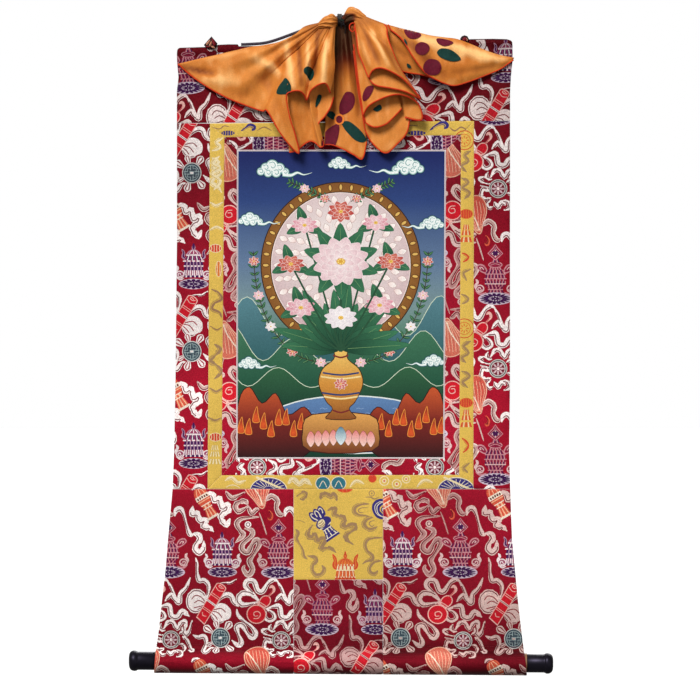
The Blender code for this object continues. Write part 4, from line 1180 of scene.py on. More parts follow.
def sheet_mesh(name, outline, shapes, surface, ground, grid, lines, back):
    """A closed thin sheet. surface(flat, side, soft, pucker) places its points; side is 1 at the front.

    The plain back of a sheet with many triangles has larger ones, on the front's rim."""
    front_flat, faces, tops = partition(outline, shapes, grid, lines)
    faces = facing(front_flat, faces)
    count = len(front_flat)
    rims = {}
    for face in faces:
        for a, b in zip(face, face[1:] + face[:1]):
            if rims.pop((b, a), None) is None:
                rims[(a, b)] = True
    after = dict(list(rims))
    rim = [next(iter(after))]
    while len(rim) < len(after):
        rim.append(after[rim[-1]])
    rear_flat, rear_faces = front_flat, faces
    if len(faces) > MANY:
        rear_flat, rear_faces, _ = partition(outline, [], grid, lines, front_flat[rim].tolist())
        rear_faces = facing(rear_flat, rear_faces)
    rear_numbers = {tuple(point): count + number for number, point in enumerate(rear_flat.tolist())}
    behind = {corner: rear_numbers[tuple(front_flat[corner].tolist())] for corner in rim}
    walls = [[b, a, behind[a], behind[b]] for a, b in rims]
    rear_faces = [[corner + count for corner in reversed(face)] for face in rear_faces]
    every = faces + rear_faces + walls
    mesh = bpy.data.meshes.new(name)
    sides = [placed(surface, side_flat, side, outline) for side_flat, side in ((front_flat, 1),
                                                                               (rear_flat, -1))]
    mesh.from_pydata(np.vstack(sides).tolist(), [], every)
    paints = [ground] + [paint for paint, _ in shapes]
    colours = np.ones((len(mesh.loops), 4))
    maps = np.zeros((len(mesh.loops), 2))
    flat = np.vstack((front_flat, rear_flat))
    low, high = front_flat.min(axis=0), front_flat.max(axis=0)
    spread = (flat - low) / (high - low)
    cell = np.zeros(len(mesh.loops), dtype=np.int32)
    mesh.loops.foreach_get("vertex_index", cell)
    triangles = len(faces) * 3
    both = triangles + len(rear_faces) * 3
    owner = np.repeat(np.array(tops), 3)
    order = np.argsort(owner, kind="stable")
    numbers_used, starts = np.unique(owner[order], return_index=True)
    for paint_number, chosen in zip(numbers_used, np.split(order, starts[1:])):
        paint = paints[paint_number]
        xs, drops = flat[cell[chosen], 0], flat[cell[chosen], 1]
        if callable(paint):
            colours[chosen, :3] = paint(xs, drops)
        else:
            colours[chosen, :3] = colour(*paint)
            # Red brocade takes the painted light and shade of its satin: the ground in full, the motifs in
            # part, and hardly at all from just above the roller down.
            if ground in RED_GROUNDS:
                share = 1 if paint == ground else 0.3 - 0.27 * ease(drops, 1000, 1030)
                colours[chosen, :3] *= (painted_satin_light(xs, drops) ** share)[:, None]
        colours[chosen, 3] = 1 if paint is ground or paint == ground else 0
    colours[triangles:, :3] = colour(*back)
    colours[triangles:, 3] = 0
    # the front, the back and the thin edges each have a place of their own on the map
    maps[:triangles] = spread[cell[:triangles]] * (0.64, 0.98) + (0.01, 0.01)
    maps[triangles:both] = spread[cell[triangles:both]] * (0.29, 0.98) + (0.67, 0.01)
    maps[both:] = spread[cell[both:]] * (0.002, 0.98) + (0.985, 0.01)
    threads = mesh.color_attributes.new("threads", "FLOAT_COLOR", "CORNER")
    threads.data.foreach_set("color", colours.ravel())
    mesh.uv_layers.new(name="OFBake").data.foreach_set("uv", maps.ravel())
    slots = np.zeros(len(every), dtype=np.int32)
    slots[len(faces):len(faces) + len(rear_faces)] = 1
    mesh.polygons.foreach_set("material_index", slots)
    mesh.shade_smooth()
    mesh.set_sharp_from_angle(angle=math.radians(60))
    mesh.validate()
    return mesh


def turned_right(flat, face):
    (ax, ay), (bx, by), (cx, cy) = (flat[corner] for corner in face)
    return (bx - ax) * (cy - ay) - (by - ay) * (cx - ax) > 0


def sway(x, drop):
    free = ease(drop, 240, 420) * (1 - ease(drop, 900, 990))
    rim = ease(np.abs(x), 170, 275)
    turn = np.where(x > 0, 0.8, 2.6)
    ripple = 2.6 * rim * np.sin(math.tau * drop / 235 + turn)
    belly = 1.6 * np.cos(math.pi * x / 600)
    folds = 0.9 * np.sin(math.tau * (x + 40) / 190) * ease(drop, 740, 860)
    return free * (ripple + belly + folds)


def hung(flat, side, soft, pucker):
    """Cloth that hangs in the scroll's plane."""
    x, drop = flat[:, 0], flat[:, 1]
    out = sway(x, drop) + side * soft * SHEET / 2 + pucker
    return np.column_stack((x, -out, -drop)) * MM


def side_x(drop, column):
    table = np.array(MOUNT_SIDES)
    return np.interp(drop, table[:, 0], table[:, column])


def inset(corners, gaps):
    """A four-sided outline with each side moved in by its gap: top, right, bottom, left."""
    sides = []
    for start, end, gap in zip(corners, corners[1:] + corners[:1], gaps):
        run = Vector((end[0] - start[0], end[1] - start[1])).normalized()
        sides.append((Vector(start) + Vector((-run.y, run.x)) * gap, run))
    moved_in = []
    for (point, run), (other, way) in zip(sides[-1:] + sides[:-1], sides):
        cross = run.x * way.y - run.y * way.x
        reach = ((other.x - point.x) * way.y - (other.y - point.y) * way.x) / cross
        moved_in.append(tuple(point + run * reach))
    return moved_in


def hang(name, node, outline, shapes, looks, slot, ground, back, surface=hung, grid=9, lines=()):
    """Makes a panel of cloth, in place of its node, and works out its flat size."""
    mesh = sheet_mesh(name, outline, shapes, surface, ground, grid, lines, back)
    piece = finish_piece(name, mesh, looks, slot, node)
    xs, drops = zip(*outline)
    size = ((max(xs) - min(xs)) * MM, (max(drops) - min(drops)) * MM)


def within(shapes, box):
    """The shapes that reach into a box."""
    return [(paint, points) for paint, points in shapes if meets(*np.array(points).T, box)]


def box_of(outline, margin=2):
    xs, drops = zip(*outline)
    return min(xs) - margin, min(drops) - margin, max(xs) + margin, max(drops) + margin


# ---------------------------------------------------------------- camera and cord
def build_camera():
    """Straight on and from afar, so that the scroll's frame fills the picture as it does there."""
    camera = bpy.data.objects.new("camera", bpy.data.cameras.new("camera"))
    scene.collection.objects.link(camera)
    distance = 8
    frame_width = 1.12
    camera.location = (0.0112, -distance, -0.5376)
    camera.rotation_euler = (math.radians(90), 0, 0)
    camera.data.sensor_width = 36
    camera.data.lens = 36 * distance / frame_width
    camera.data.clip_end = 200
    scene.camera = camera


def hang_red(name, node, outline, looks, columns, rows, palette=RED_THREADS, turn=0, lean=0, extra=(),
             **more):
    """A panel of red brocade. Marks in columns and rows say where the pattern lies on it."""
    shapes = brocade(columns, rows, box_of(outline), palette, turn, lean) + list(extra)
    hang(name, node, outline, shapes, looks, "red_brocade", palette["ground"], RED_BACK, **more)


def hang_yellow(name, node, outline, looks, shapes):
    hang(name, node, outline, shapes, looks, "yellow_brocade", YELLOW_TONES["ground"], YELLOW_TONES["dull"])


def build_cord():
    look = Look("twisted_cord", Roughness=0.7, Sheen_Weight=0.1, Specular_IOR_Level=0.3)
    wave = look.wave(260, 1)
    tone = look.mix(wave, colour(30, 22, 32), colour(96, 84, 98))
    look.show(look.mix(look.noise(300), tone, colour(60, 50, 62)), look.bump(wave, 0.0006))
    curve = bpy.data.curves.new("cord", "CURVE")
    curve.dimensions = "3D"
    curve.bevel_depth = CORD_RADIUS * MM
    curve.bevel_resolution = 5
    curve.use_fill_caps = True
    steps = 60
    spline = curve.splines.new("POLY")
    spline.points.add(steps)
    for number, knot in enumerate(spline.points):
        knot.co = (*place(*along(CORD_ROUTE, number / steps)), 1)
    cord = finish_piece("cord", curve, [look.material], "dark_cord", "hanging_cord")
    tuple(place(*CORD_ROUTE[0]))


# ---------------------------------------------------------------- the mount
def build_mount(red, yellow):
    build_top(red)
    # the side strips
    top, low = TOP_SEAM[0], LOW_SEAM - HALF_SHOWN
    edge = [(side_x(drop, 1), drop) for drop in np.linspace(top + HALF_SHOWN, low, 40)[::-1]]
    start, end = (YELLOW_OUTSIDE[0][0] - HALF_SHOWN, top + SEAM_GAP), (YELLOW_OUTSIDE[3][0] - HALF_SHOWN,
                                                                       low)
    hang_red("left_strip", "mount_left", [*edge, *dotted(start, end, 8), end], red, ((0, -239),),
             ((0, 432), (178, 719.2)))
    top = TOP_SEAM[1] + SEAM_GAP
    edge = [(side_x(drop, 2), drop) for drop in np.linspace(top, low, 40)]
    start, end = (YELLOW_OUTSIDE[2][0] + HALF_SHOWN, low), (YELLOW_OUTSIDE[1][0] + HALF_SHOWN, top)
    hang_red("right_strip", "mount_right", [*edge, *dotted(start, end, 8), end], red, ((0, 154.6),),
             ((-178, 168), (0, 455), (178, 744.2)))
    build_lower(red)
    # the square of yellow brocade
    corners = ((PATCH_LEFT, LOW_SEAM), (PATCH_RIGHT, LOW_SEAM), (PATCH_RIGHT, PATCH_BOTTOM),
               (PATCH_LEFT, PATCH_BOTTOM))
    outline = divided(inset(corners, (HALF_SHOWN,) * 4), 6)
    hang_yellow("square_patch", "door_patch", outline, yellow, yellow_patch())


def build_top(red):
    """The panel over the picture, with its rolled hem."""
    slope = (TOP_RIGHT[1] - TOP_LEFT[1]) / (TOP_RIGHT[0] - TOP_LEFT[0])

    def rim(x):
        """The drop of the panel's upper edge, which rises a little either side of the cord."""
        return TOP_LEFT[1] + slope * (x - TOP_LEFT[0]) - np.interp(x, *zip(*TOP_BOW))

    def side(corner, column, inward, drops):
        edge = [(side_x(corner[1] + below, column) + inward * rounding, corner[1] + below)
                for below, _, rounding in TOP_HEM]
        edge += [(side_x(drop, column), drop) for drop in drops]
        seam = TOP_SEAM[column - 1]
        return edge + [(side_x(seam, column), seam - HALF_SHOWN)]

    def hemmed(flat, side, soft, pucker):
        x, drop = flat[:, 0], flat[:, 1]
        below = drop - rim(x)
        hem = np.array(TOP_HEM)
        half = np.interp(below, hem[:, 0], hem[:, 1] - HEM_SKIN)
        half = np.where(below > 12, SHEET / 2 + (half - SHEET / 2) * np.exp(-(below - 12) / 2), half)
        out = side * soft * half + pucker * ease(below, 8, 20)
        return np.column_stack((x, -out, -drop)) * MM

    left = side(TOP_LEFT, 1, 1, (80, 101, 124, 150))
    right = side(TOP_RIGHT, 2, -1, (74, 101, 124, 150))
    outline = divided(right + left[::-1] + [(x, float(rim(x))) for x, _ in TOP_BOW], 7)
    columns = ((-55.75, -247.7), (0, -160), (55.75, -52.8), (111.5, 56), (167.25, 171.2), (223, 260.3))
    # plain cloth behind both tabs, and the shade along the edge
    ground = TOP_THREADS["ground"]
    plain = [(ground, [(-201, 40), (-150, 40), (-150, 60), (-201, 62)]),
             (ground, [(178, 40), (213, 40), (213, 58), (178, 58)]),
             ((48, 6, 16), [(x, float(rim(x)) + 1.5) for x in range(-270, 276, 5)]
              + [(275, 25), (-270, 25)])]
    hang_red("top_panel", "mount_top", outline, red, columns, ((0, 110),), TOP_THREADS, lean=-0.032,
             extra=plain,
             surface=hemmed)


def sleeve_section():
    """Out and drop of the cloth's middle at x 0: down the front, round the roller and up again."""
    radius = ROLLER_RADIUS + SLEEVE_CLEARANCE + CLOTH / 2
    path = [(0, ROLLER_DROP - 27), (0.3, ROLLER_DROP - 22.4), (2.2, ROLLER_DROP - 19.2)]
    steps = 36
    for step in range(steps + 1):
        angle = math.radians(20 + 320 * step / steps)
        slack = SLEEVE_SAG * max(-math.cos(angle), 0)
        path.append((radius * math.sin(angle), ROLLER_DROP - radius * math.cos(angle) + slack))
    return np.array(path + [(out, ROLLER_DROP - above) for out, above in ((-3.6, 20), (-2.7, 23.6),
                                                                          (-2.5, 35))])


def build_lower(red):
    """The three lower panels. Their flat length runs on round the roller."""
    section = sleeve_section()
    steps = np.linalg.norm(np.diff(section, axis=0), axis=1)
    passed = np.concatenate(([0], np.cumsum(steps)))
    ways = np.gradient(section, passed, axis=0)
    throat = section[0, 1]

    def sleeved(flat, side, soft, pucker):
        x, s = flat[:, 0], flat[:, 1]
        beyond = np.maximum(s - throat, 0)
        drop = np.where(s <= throat, s, np.interp(beyond, passed, section[:, 1]))
        drop = drop + ROLLER_SLOPE * x * ease(s, LOW_SEAM, throat)
        out = np.where(s <= throat, sway(x, drop), np.interp(beyond, passed, section[:, 0]))
        way_out = np.where(s <= throat, 0, np.interp(beyond, passed, ways[:, 0]))
        way_drop = np.where(s <= throat, 1, np.interp(beyond, passed, ways[:, 1]))
        size = np.hypot(way_out, way_drop)
        wrinkle = 0.35 * np.sin(x / 7 + 2 * np.sin(x / 31)) * np.exp(-((s - throat - 6) / 11) ** 2)
        shift = side * soft * SHEET / 2 + pucker + wrinkle * (beyond < 60)
        return np.column_stack((x, -(out + shift * way_drop / size), -(drop - shift * way_out / size))) * MM

    def drop_of(s):
        return s if s <= throat else float(np.interp(s - throat, passed, section[:, 1]))

    bottom = throat + passed[-1]
    lines = [throat + value for value in np.arange(0, passed[-1] - 12, 3)]
    room = SEAM_GAP / 2
    for word, top, first, last, palette, columns, rows in (
        ("left", LOW_SEAM, None, PATCH_LEFT, RED_THREADS,
         ((-55.75, -279), (0, -193.6), (55.75, -103)), ((0, 893.6), (178, 1175.2))),
        ("middle", PATCH_BOTTOM, PATCH_LEFT, PATCH_RIGHT, DIM_THREADS, ((-55.75, -32.8), (0, 51.2)),
         ((0, 984.5),)),
        ("right", LOW_SEAM, PATCH_RIGHT, None, RIGHT_THREADS,
         ((0, 94.9), (55.75, 188), (111.5, 276)), ((0, 892), (178, 1173.6))),
    ):
        levels = np.linspace(top + room, bottom, int((bottom - top) / 6))
        starts = [(side_x(drop_of(s), 1) if first is None else first + room, s) for s in levels]
        ends = [(side_x(drop_of(s), 2) if last is None else last - room, s) for s in levels]
        outline = dotted(starts[0], ends[0], 6) + ends[:-1] + dotted(ends[-1], starts[-1], 6) + starts[:0:-1]
        hang_red(f"lower_{word}", f"mount_lower_{word}", outline, red, columns, rows, palette,
                 surface=sleeved,
                 lines=lines)


def build_frames(red, yellow):
    """The two frames round the picture: four mitred strips of yellow, then four of red."""
    # where the red pattern lies on each strip: quarter turns, column marks and row marks
    red_lie = {
        "top": (1, ((55.75, 208),), ((0, 134.4), (178, 419.2))),
        "right": (2, ((0, -229.4),), ((-178, -672), (0, -382.6))),
        "bottom": (1, ((55.75, 721),), ((0, 27.2), (178, 310.7))),
        "left": (2, ((0, 127.5),), ((-178, -672), (0, -389.4))),
    }
    yellow_bits = yellow_strips()
    for side, (word, (turn, columns, rows)) in enumerate(red_lie.items()):
        following = (side + 1) % 4
        corners = (YELLOW_OUTSIDE[side], YELLOW_OUTSIDE[following], YELLOW_INSIDE[following],
                   YELLOW_INSIDE[side])
        outline = divided(inset(corners, (HALF_SHOWN,) * 4), 6)
        hang_yellow(f"yellow_strip_{word}", f"yellow_{word}", outline, yellow, within(yellow_bits,
                                                                                      box_of(outline)))
        corners = (YELLOW_INSIDE[side], YELLOW_INSIDE[following], PICTURE[following], PICTURE[side])
        outline = divided(inset(corners, (HALF_SHOWN, HALF_SHOWN, PIPING_ROOM, HALF_SHOWN)), 6)
        palette = RIGHT_THREADS if word in ("left", "right") else RED_THREADS
        hang_red(f"red_strip_{word}", f"red_{word}", outline, red, columns, rows, palette, turn)


# ---------------------------------------------------------------- the painted panel
def shade(*stops):
    """A paint that runs through colours from top to bottom: stops are drop and colour."""
    drops = [stop[0] for stop in stops]
    rows = np.array([colour(*stop[1]) for stop in stops])

    def paint(x, drop):
        return np.column_stack([np.interp(drop, drops, rows[:, part]) for part in range(3)])

    return paint


def glow(x0, y0, reach, inner, outer):
    """A paint that runs from a colour in the middle to another at a distance."""
    first, second = np.array(colour(*inner)), np.array(colour(*outer))

    def paint(x, y):
        share = np.clip(np.hypot(x - x0, y - y0) / reach, 0, 1)[:, None]
        return first + (second - first) * share

    return paint


def pointed(x, y, length, width, angle, half):
    """An outline from a root to a tip; half gives how wide it is along it, both as shares."""
    side = [(u * length, v * width) for u, v in half]
    return turned(side + [(u * length, -v * width) for u, v in half[-2:0:-1]], x, y, angle)


def petal(x, y, length, width, angle, inner, outer, rim=(250, 240, 236)):
    """A pointed petal from a root, pale at its rim."""
    outline = pointed(x, y, length, width, angle, ((0, 0), (0.22, 0.36), (0.55, 0.5), (0.82, 0.3), (1, 0)))
    return rimmed(rim, glow(x, y, length, inner, outer), outline, 0.45, 3)


def blossom(x, y, size, inner, outer, rows=(9, 8, 6), tilt=0.62):
    """An open flower seen from a little above."""
    drawn = []
    for row, count in enumerate(rows):
        reach = size * (1 - row * 0.26)
        for angle in angles(count, 0.5 * row):
            part = petal(0, 0, reach, reach * 0.62, angle + 0.2, inner, outer)
            drawn += [(paint if not callable(paint) else glow(x, y, reach, inner, outer),
                       [(x + u, y + v * tilt) for u, v in points]) for paint, points in part]
    drawn += disc((214, 160, 60), x, y, size * 0.16, size * 0.12, sides=12)
    for angle in angles(7):
        drawn += disc((250, 214, 120), *spot(x, y, size * 0.1, size * 0.08, angle), size * 0.035, sides=6)
    return drawn


def leaf(x, y, length, width, angle):
    outline = pointed(x, y, length, width, angle, ((0, 0), (0.3, 0.5), (0.65, 0.42), (1, 0)))
    drawn = rimmed((16, 36, 30), glow(x, y, length, (20, 60, 44), (60, 120, 84)), outline, 0.35, 3)
    c, s = math.cos(angle), math.sin(angle)
    vein = [(x + c * length * share, y + s * length * share) for share in (0.1, 0.85)]
    return drawn + strip((130, 170, 110), vein, [0.3, 0.15])


def cloud_bank(x, y, size, flip):
    """A round cloud of scrolled lobes with a trailing tail."""
    pale, mid, dark = (238, 244, 240), (120, 170, 168), (28, 50, 74)
    drawn = []
    lobes = [(x + flip * size * u, y + size * v, radius) for u, v, radius in (
        (-1.5, 0.15, 0.5), (-0.9, -0.3, 0.62), (-0.1, -0.55, 0.78), (0.8, -0.25, 0.66), (1.5, 0.2, 0.5),
        (0.4, 0.3, 0.6), (-0.6, 0.32, 0.55))]
    path = smooth([(x + flip * size * u, y + size * v)
                   for u, v in ((1.2, 0.5), (2.2, 0.62), (3, 0.3), (3.8, 0.55), (4.8, 0.3))], 5)
    for grow, paint in ((0.1, dark), (0, mid), (-0.12, pale)):
        halves = [max(size * (0.3 + grow) * (1 - step / len(path)), 0.2) for step in range(len(path))]
        drawn += strip(paint, path, halves)
        for u, v, radius in lobes:
            fill = glow(u, v, size * radius, pale, mid) if paint == mid else paint
            drawn += disc(fill, u, v, size * (radius + grow), sides=20)
    for u, v, radius in lobes:
        spiral = [spot(u, v, flip * size * radius * r, size * radius * r, a)
                  for r, a in ((0.62, -2.4), (0.6, -1.2), (0.5, 0), (0.38, 1.2), (0.22, 2.6))]
        drawn += line(mid, spiral, size * 0.045)
    return drawn


def garland(points, size, tones):
    """Leaves and small blossoms strung along a line."""
    path = smooth(points, 6)
    drawn = strip((70, 60, 40), path, [0.7] * len(path))
    for number, (x, y) in enumerate(path[1:-1]):
        before, after = path[number], path[number + 2]
        run = math.atan2(after[1] - before[1], after[0] - before[0])
        for side in (-1, 1):
            drawn += leaf(x, y, size * (0.9 + 0.2 * math.sin(number * 2.3)), size * 0.42,
                          run + side * (0.9 + 0.2 * math.sin(number * 1.7)))
    for number, (x, y) in enumerate(path[2:-1:5]):
        drawn += blossom(x, y, size * 0.85, *tones[number % len(tones)], (7, 5), 0.85)
    return drawn


def paint_panel():
    """A generic garden piece: a vase of lotus before a halo, with hills, clouds and a lake."""
    cx = -3.5
    pink = ((250, 232, 232), (214, 120, 140))
    white = ((252, 250, 246), (222, 208, 214))
    red = ((236, 150, 120), (176, 40, 52))
    sky = shade((218, (26, 34, 92)), (300, (44, 66, 120)), (400, (96, 120, 150)), (470, (120, 146, 146)),
                (520, (70, 120, 92)), (600, (34, 78, 58)), (712, (24, 56, 46)))
    drawn = []
    # hills and the lake
    for base, tall, start, above, below in ((520, 62, 0.4, (86, 130, 140), (50, 96, 100)),
                                            (560, 54, 2.1, (66, 118, 88), (34, 84, 62)),
                                            (600, 40, 3.6, (52, 100, 66), (22, 62, 46))):
        crest = [(-170 + 8.4 * step,
                  base - tall * (0.55 + 0.45 * math.sin(step * 0.52 + start)) * (0.4 + abs(step - 20) / 26))
                 for step in range(41)]
        drawn += [(shade((base - tall * 1.2, above), (base + 30, below)), crest + [(166, 712), (-170, 712)])]
        drawn += strip((214, 226, 200), crest, [0.5] * len(crest))
    lake = smooth([(-120, 640), (-60, 618), (20, 612), (100, 622), (150, 650), (120, 690), (20, 702),
                   (-90, 692),
                   (-140, 668)], 4, closed=True)
    drawn += [((226, 232, 228), grown(lake, 2)), (shade((612, (96, 132, 176)), (700, (30, 52, 116))), lake)]
    for row in range(9):
        for number in range(9):
            x, y = -118 + number * 29 + (row % 2) * 14, 632 + row * 7.6
            if ((x - 4) / 128) ** 2 + ((y - 656) / 38) ** 2 < 0.9:
                wavelet = ((x - 6, y), (x - 2, y - 1.6), (x + 2, y), (x + 6, y - 1.4))
                drawn += line((150, 176, 210), wavelet, 0.3)
    # the halo behind the flowers
    halo = (cx, 402)
    drawn += discs(*halo, ((44, 26, 20), 128.5, 133.5), (glow(*halo, 130, (200, 150, 70), (132, 84, 40)),
                                                         127, 132),
                   sides=72)
    for angle in angles(44):
        x, y = spot(*halo, 120, 125, angle)
        drawn += disc((92, 50, 24), x, y, 6, 3.4, angle, 12) + disc((222, 180, 96), x, y, 4.6, 2.2, angle,
                                                                    10)
    inside_glow = glow(cx, halo[1] - 20, 130, (246, 240, 234), (206, 176, 178))
    drawn += discs(*halo, ((60, 32, 22), 113, 118), ((244, 226, 216), 111.6, 116.6), (inside_glow, 110.4,
                                                                                      115.4),
                   sides=72)
    for ring in range(4):
        reach = 108 - ring * 15
        for angle in angles(30 - ring * 3, 0.5 * ring):
            x, y = spot(*halo, reach * 0.86, reach * 0.9, angle)
            drawn += petal(x, y, 15, 10, angle, (240, 214, 208), (252, 246, 240), (170, 120, 110))
    # clouds in the sky and at the sides
    for x, y, size, flip in ((-112, 250, 13, 1), (104, 246, 13, -1), (-148, 330, 10, 1), (142, 336, 10, -1),
                             (-6, 240, 9, 1), (-150, 560, 9, 1), (144, 556, 9, -1)):
        drawn += cloud_bank(x, y, size, flip)
    # garlands on both sides of the vase
    for side in (-1, 1):
        for path, size, tones in (
            (((18, 560), (70, 546), (112, 500), (134, 440), (140, 380)), 11, (pink, red, white)),
            (((16, 300), (52, 282), (84, 268)), 10, (red, pink)),
        ):
            drawn += garland([(cx + side * u, v) for u, v in path], size, tones)
    # the vase on its stand
    for side in (-1, 1):
        rocks = [(cx + side * u, v) for u, v in ((40, 660), (58, 628), (84, 640), (104, 606), (126, 622),
                                                 (146, 596),
                                                 (164, 620), (167, 709), (60, 709))]
        fill = shade((600, (196, 84, 44)), (650, (120, 36, 30)), (709, (50, 22, 24)))
        drawn += rimmed((30, 18, 20), fill, rocks, 1.4)
        for number in range(9):
            x, y = cx + side * (64 + number * 12), 652 + 12 * math.sin(number * 1.9)
            tongue = [(x - 5, y + 12), (x - 4, y), (x + 2, y - 14), (x + 4, y - 2), (x + 6, y + 12)]
            drawn += rimmed((238, 150, 60), glow(x, y + 6, 18, (226, 92, 40), (120, 30, 30)), tongue, 1, 3)
    stand = [(cx + u, v) for u, v in ((-62, 668), (-46, 640), (46, 640), (62, 668), (50, 700), (-50, 700))]
    drawn += rimmed((60, 28, 20), shade((640, (222, 160, 84)), (700, (120, 60, 34))), stand, 1.6, 3)
    for number in range(9):
        drawn += petal(cx - 48 + number * 12, 664 + abs(number - 4) * 0.8, 26, 14, math.pi / 2,
                       (226, 120, 120),
                       (250, 214, 200), (96, 30, 40))
    drawn += petal(cx, 660, 30, 18, math.pi / 2, (80, 130, 150), (226, 236, 236), (40, 50, 80))
    body = ((-12, 540), (-18, 532), (18, 532), (12, 540), (12, 552), (30, 568), (36, 592), (24, 620),
            (14, 632),
            (24, 648), (-24, 648), (-14, 632), (-24, 620), (-36, 592), (-30, 568), (-12, 552))
    drawn += rimmed((52, 26, 18), shade((532, (238, 196, 104)), (592, (206, 140, 58)), (648, (140, 80, 36))),
                    [(cx + u, v) for u, v in body], 1.3)
    dark_red, blue, straw = (120, 40, 40), (30, 60, 110), (238, 214, 150)
    for y, half, tone in ((546, 12, dark_red), (574, 29, blue), (580, 32, straw), (606, 30, blue),
                          (612, 27, straw),
                          (634, 13, dark_red)):
        drawn += line(tone, ((cx - half, y), (cx, y + 3.6), (cx + half, y)), 1.3)
    drawn += blossom(cx, 592, 11, *red, (8, 6), 0.9)
    # the bouquet
    for number in range(14):
        angle = math.pi * (1.02 + 0.96 * number / 13)
        drawn += leaf(cx, 536, 96 + 20 * math.sin(number * 2.1), 24, angle)
    for x, y, size, tones in ((-64, 470, 25, pink), (62, 466, 25, pink), (-80, 400, 23, red), (80, 396, 23,
                                                                                               red),
                              (-58, 338, 22, pink), (56, 334, 22, pink)):
        stem = smooth([(cx, 540), (cx + x * 0.45, (y + 540) / 2 + 12), (cx + x, y)], 6)
        drawn += strip((40, 80, 56), stem, [1.5] * len(stem))
        for angle in (0.4, 2.7, 4.4):
            drawn += leaf(cx + x, y, size * 1.45, size * 0.7, angle)
        drawn += blossom(cx + x, y, size, *tones)
    drawn += strip((40, 80, 56), [(cx, 540), (cx, 400)], [1.8, 1.8])
    for angle in angles(10):
        drawn += leaf(cx, 396, 62, 26, angle + 0.3)
    drawn += blossom(cx, 396, 46, (254, 248, 244), (226, 186, 192), (12, 11, 9, 7), 0.86)
    return sky, drawn + blossom(cx, 486, 27, *white, (10, 8, 6), 0.7) + blossom(cx, 316, 22, *red,
                                                                                (9, 7, 5), 0.8)


def build_picture(looks):
    sky, drawn = paint_panel()
    outline = divided(inset(PICTURE, (PIPING_ROOM,) * 4), 6)
    hang("painted_panel", "picture", outline, within(drawn, box_of(outline)), looks, "painted_cloth", sky,
         (206, 196, 176), grid=6)


# ---------------------------------------------------------------- small trim
def skin(block, rings):
    """Faces from each closed ring of vertices to the next one. A ring may be a single vertex."""
    made = []
    for ring, following in zip(rings, rings[1:]):
        sides = max(len(ring), len(following))
        for step in range(sides):
            other = (step + 1) % sides
            corners = (ring[step % len(ring)], ring[other % len(ring)], following[other % len(following)],
                       following[step % len(following)])
            made.append(block.faces.new(list(dict.fromkeys(corners))))
    return made


def tube_mesh(block, points, radius, sides=6, closed=False):
    """A round cord along points in metres, added to a mesh being built."""
    rings = []
    count = len(points)
    for number, point in enumerate(points):
        before = points[(number - 1) % count] if closed or number else point
        after = points[(number + 1) % count] if closed or number < count - 1 else point
        run = (after - before).normalized()
        side = run.cross(Vector((0, 1, 0)))
        side = side.normalized() if side.length > 0.01 else Vector((1, 0, 0))
        front = side.cross(run).normalized()
        rings.append([block.verts.new(
            point + (side * math.cos(angle) * radius + front * math.sin(angle) * radius) * MM)
                      for angle in angles(sides)])
    skin(block, rings + rings[:1] if closed else rings)
    if not closed:
        block.faces.new(rings[0][::-1])
        block.faces.new(rings[-1])


def curve_tube(block, points, steps, radius, sides):
    """A cord along a smooth curve through points in millimetres."""
    tube_mesh(block, [place(*along(points, step / steps)) for step in range(steps + 1)], radius, sides)


def block_piece(name, block, looks, slot, *nodes, turn_faces=True):
    if turn_faces:
        bmesh.ops.recalc_face_normals(block, faces=block.faces)
    mesh = bpy.data.meshes.new(name)
    block.to_mesh(mesh)
    block.free()
    mesh.shade_smooth()
    return finish_piece(name, mesh, looks, slot, *nodes)


def thread_look(name, tone, light, scale=900, sheen=0):
    look = Look(name, Roughness=0.6, Sheen_Weight=sheen, Specular_IOR_Level=0.2)
    wave = look.wave(scale / 3, 2)
    share = look.math("MULTIPLY", wave, look.noise(scale, 2))
    return look.show(look.mix(share, colour(*tone), colour(*light)), look.bump(wave, 0.0004))


def build_piping():
    block = bmesh.new()
    points = [place(x, drop, float(sway(np.array([x]), np.array([drop]))[0]) + 0.1)
              for x, drop in divided(PICTURE, 6)]
    tube_mesh(block, points, PIPING / 2, 8, closed=True)
    look = thread_look("piping_silk", (206, 176, 180), (236, 220, 220), sheen=0.3)
    block_piece("piping", block, [look], "piping_silk", "picture_piping")


def build_stitches():
    """The row of stitches that closes the sleeve over the roller."""
    block = bmesh.new()
    pitch, long = 4.2, 3
    start, end = ROLLER_ENDS[0] + 1.5, ROLLER_ENDS[1] - 1.5
    for number in range(int((end - start) / pitch)):
        x = start + number * pitch
        drop = ROLLER_DROP - 26.2 + ROLLER_SLOPE * x
        points = [place(x + long * share, drop, SHEET / 2 + 0.12 + 0.2 * math.sin(math.pi * share))
                  for share in (0, 0.25, 0.5, 0.75, 1)]
        tube_mesh(block, points, 0.3, 5)
    block_piece("sleeve_stitches", block, [thread_look("stitch_thread", (112, 12, 28), (150, 24, 42))],
                "red_brocade")


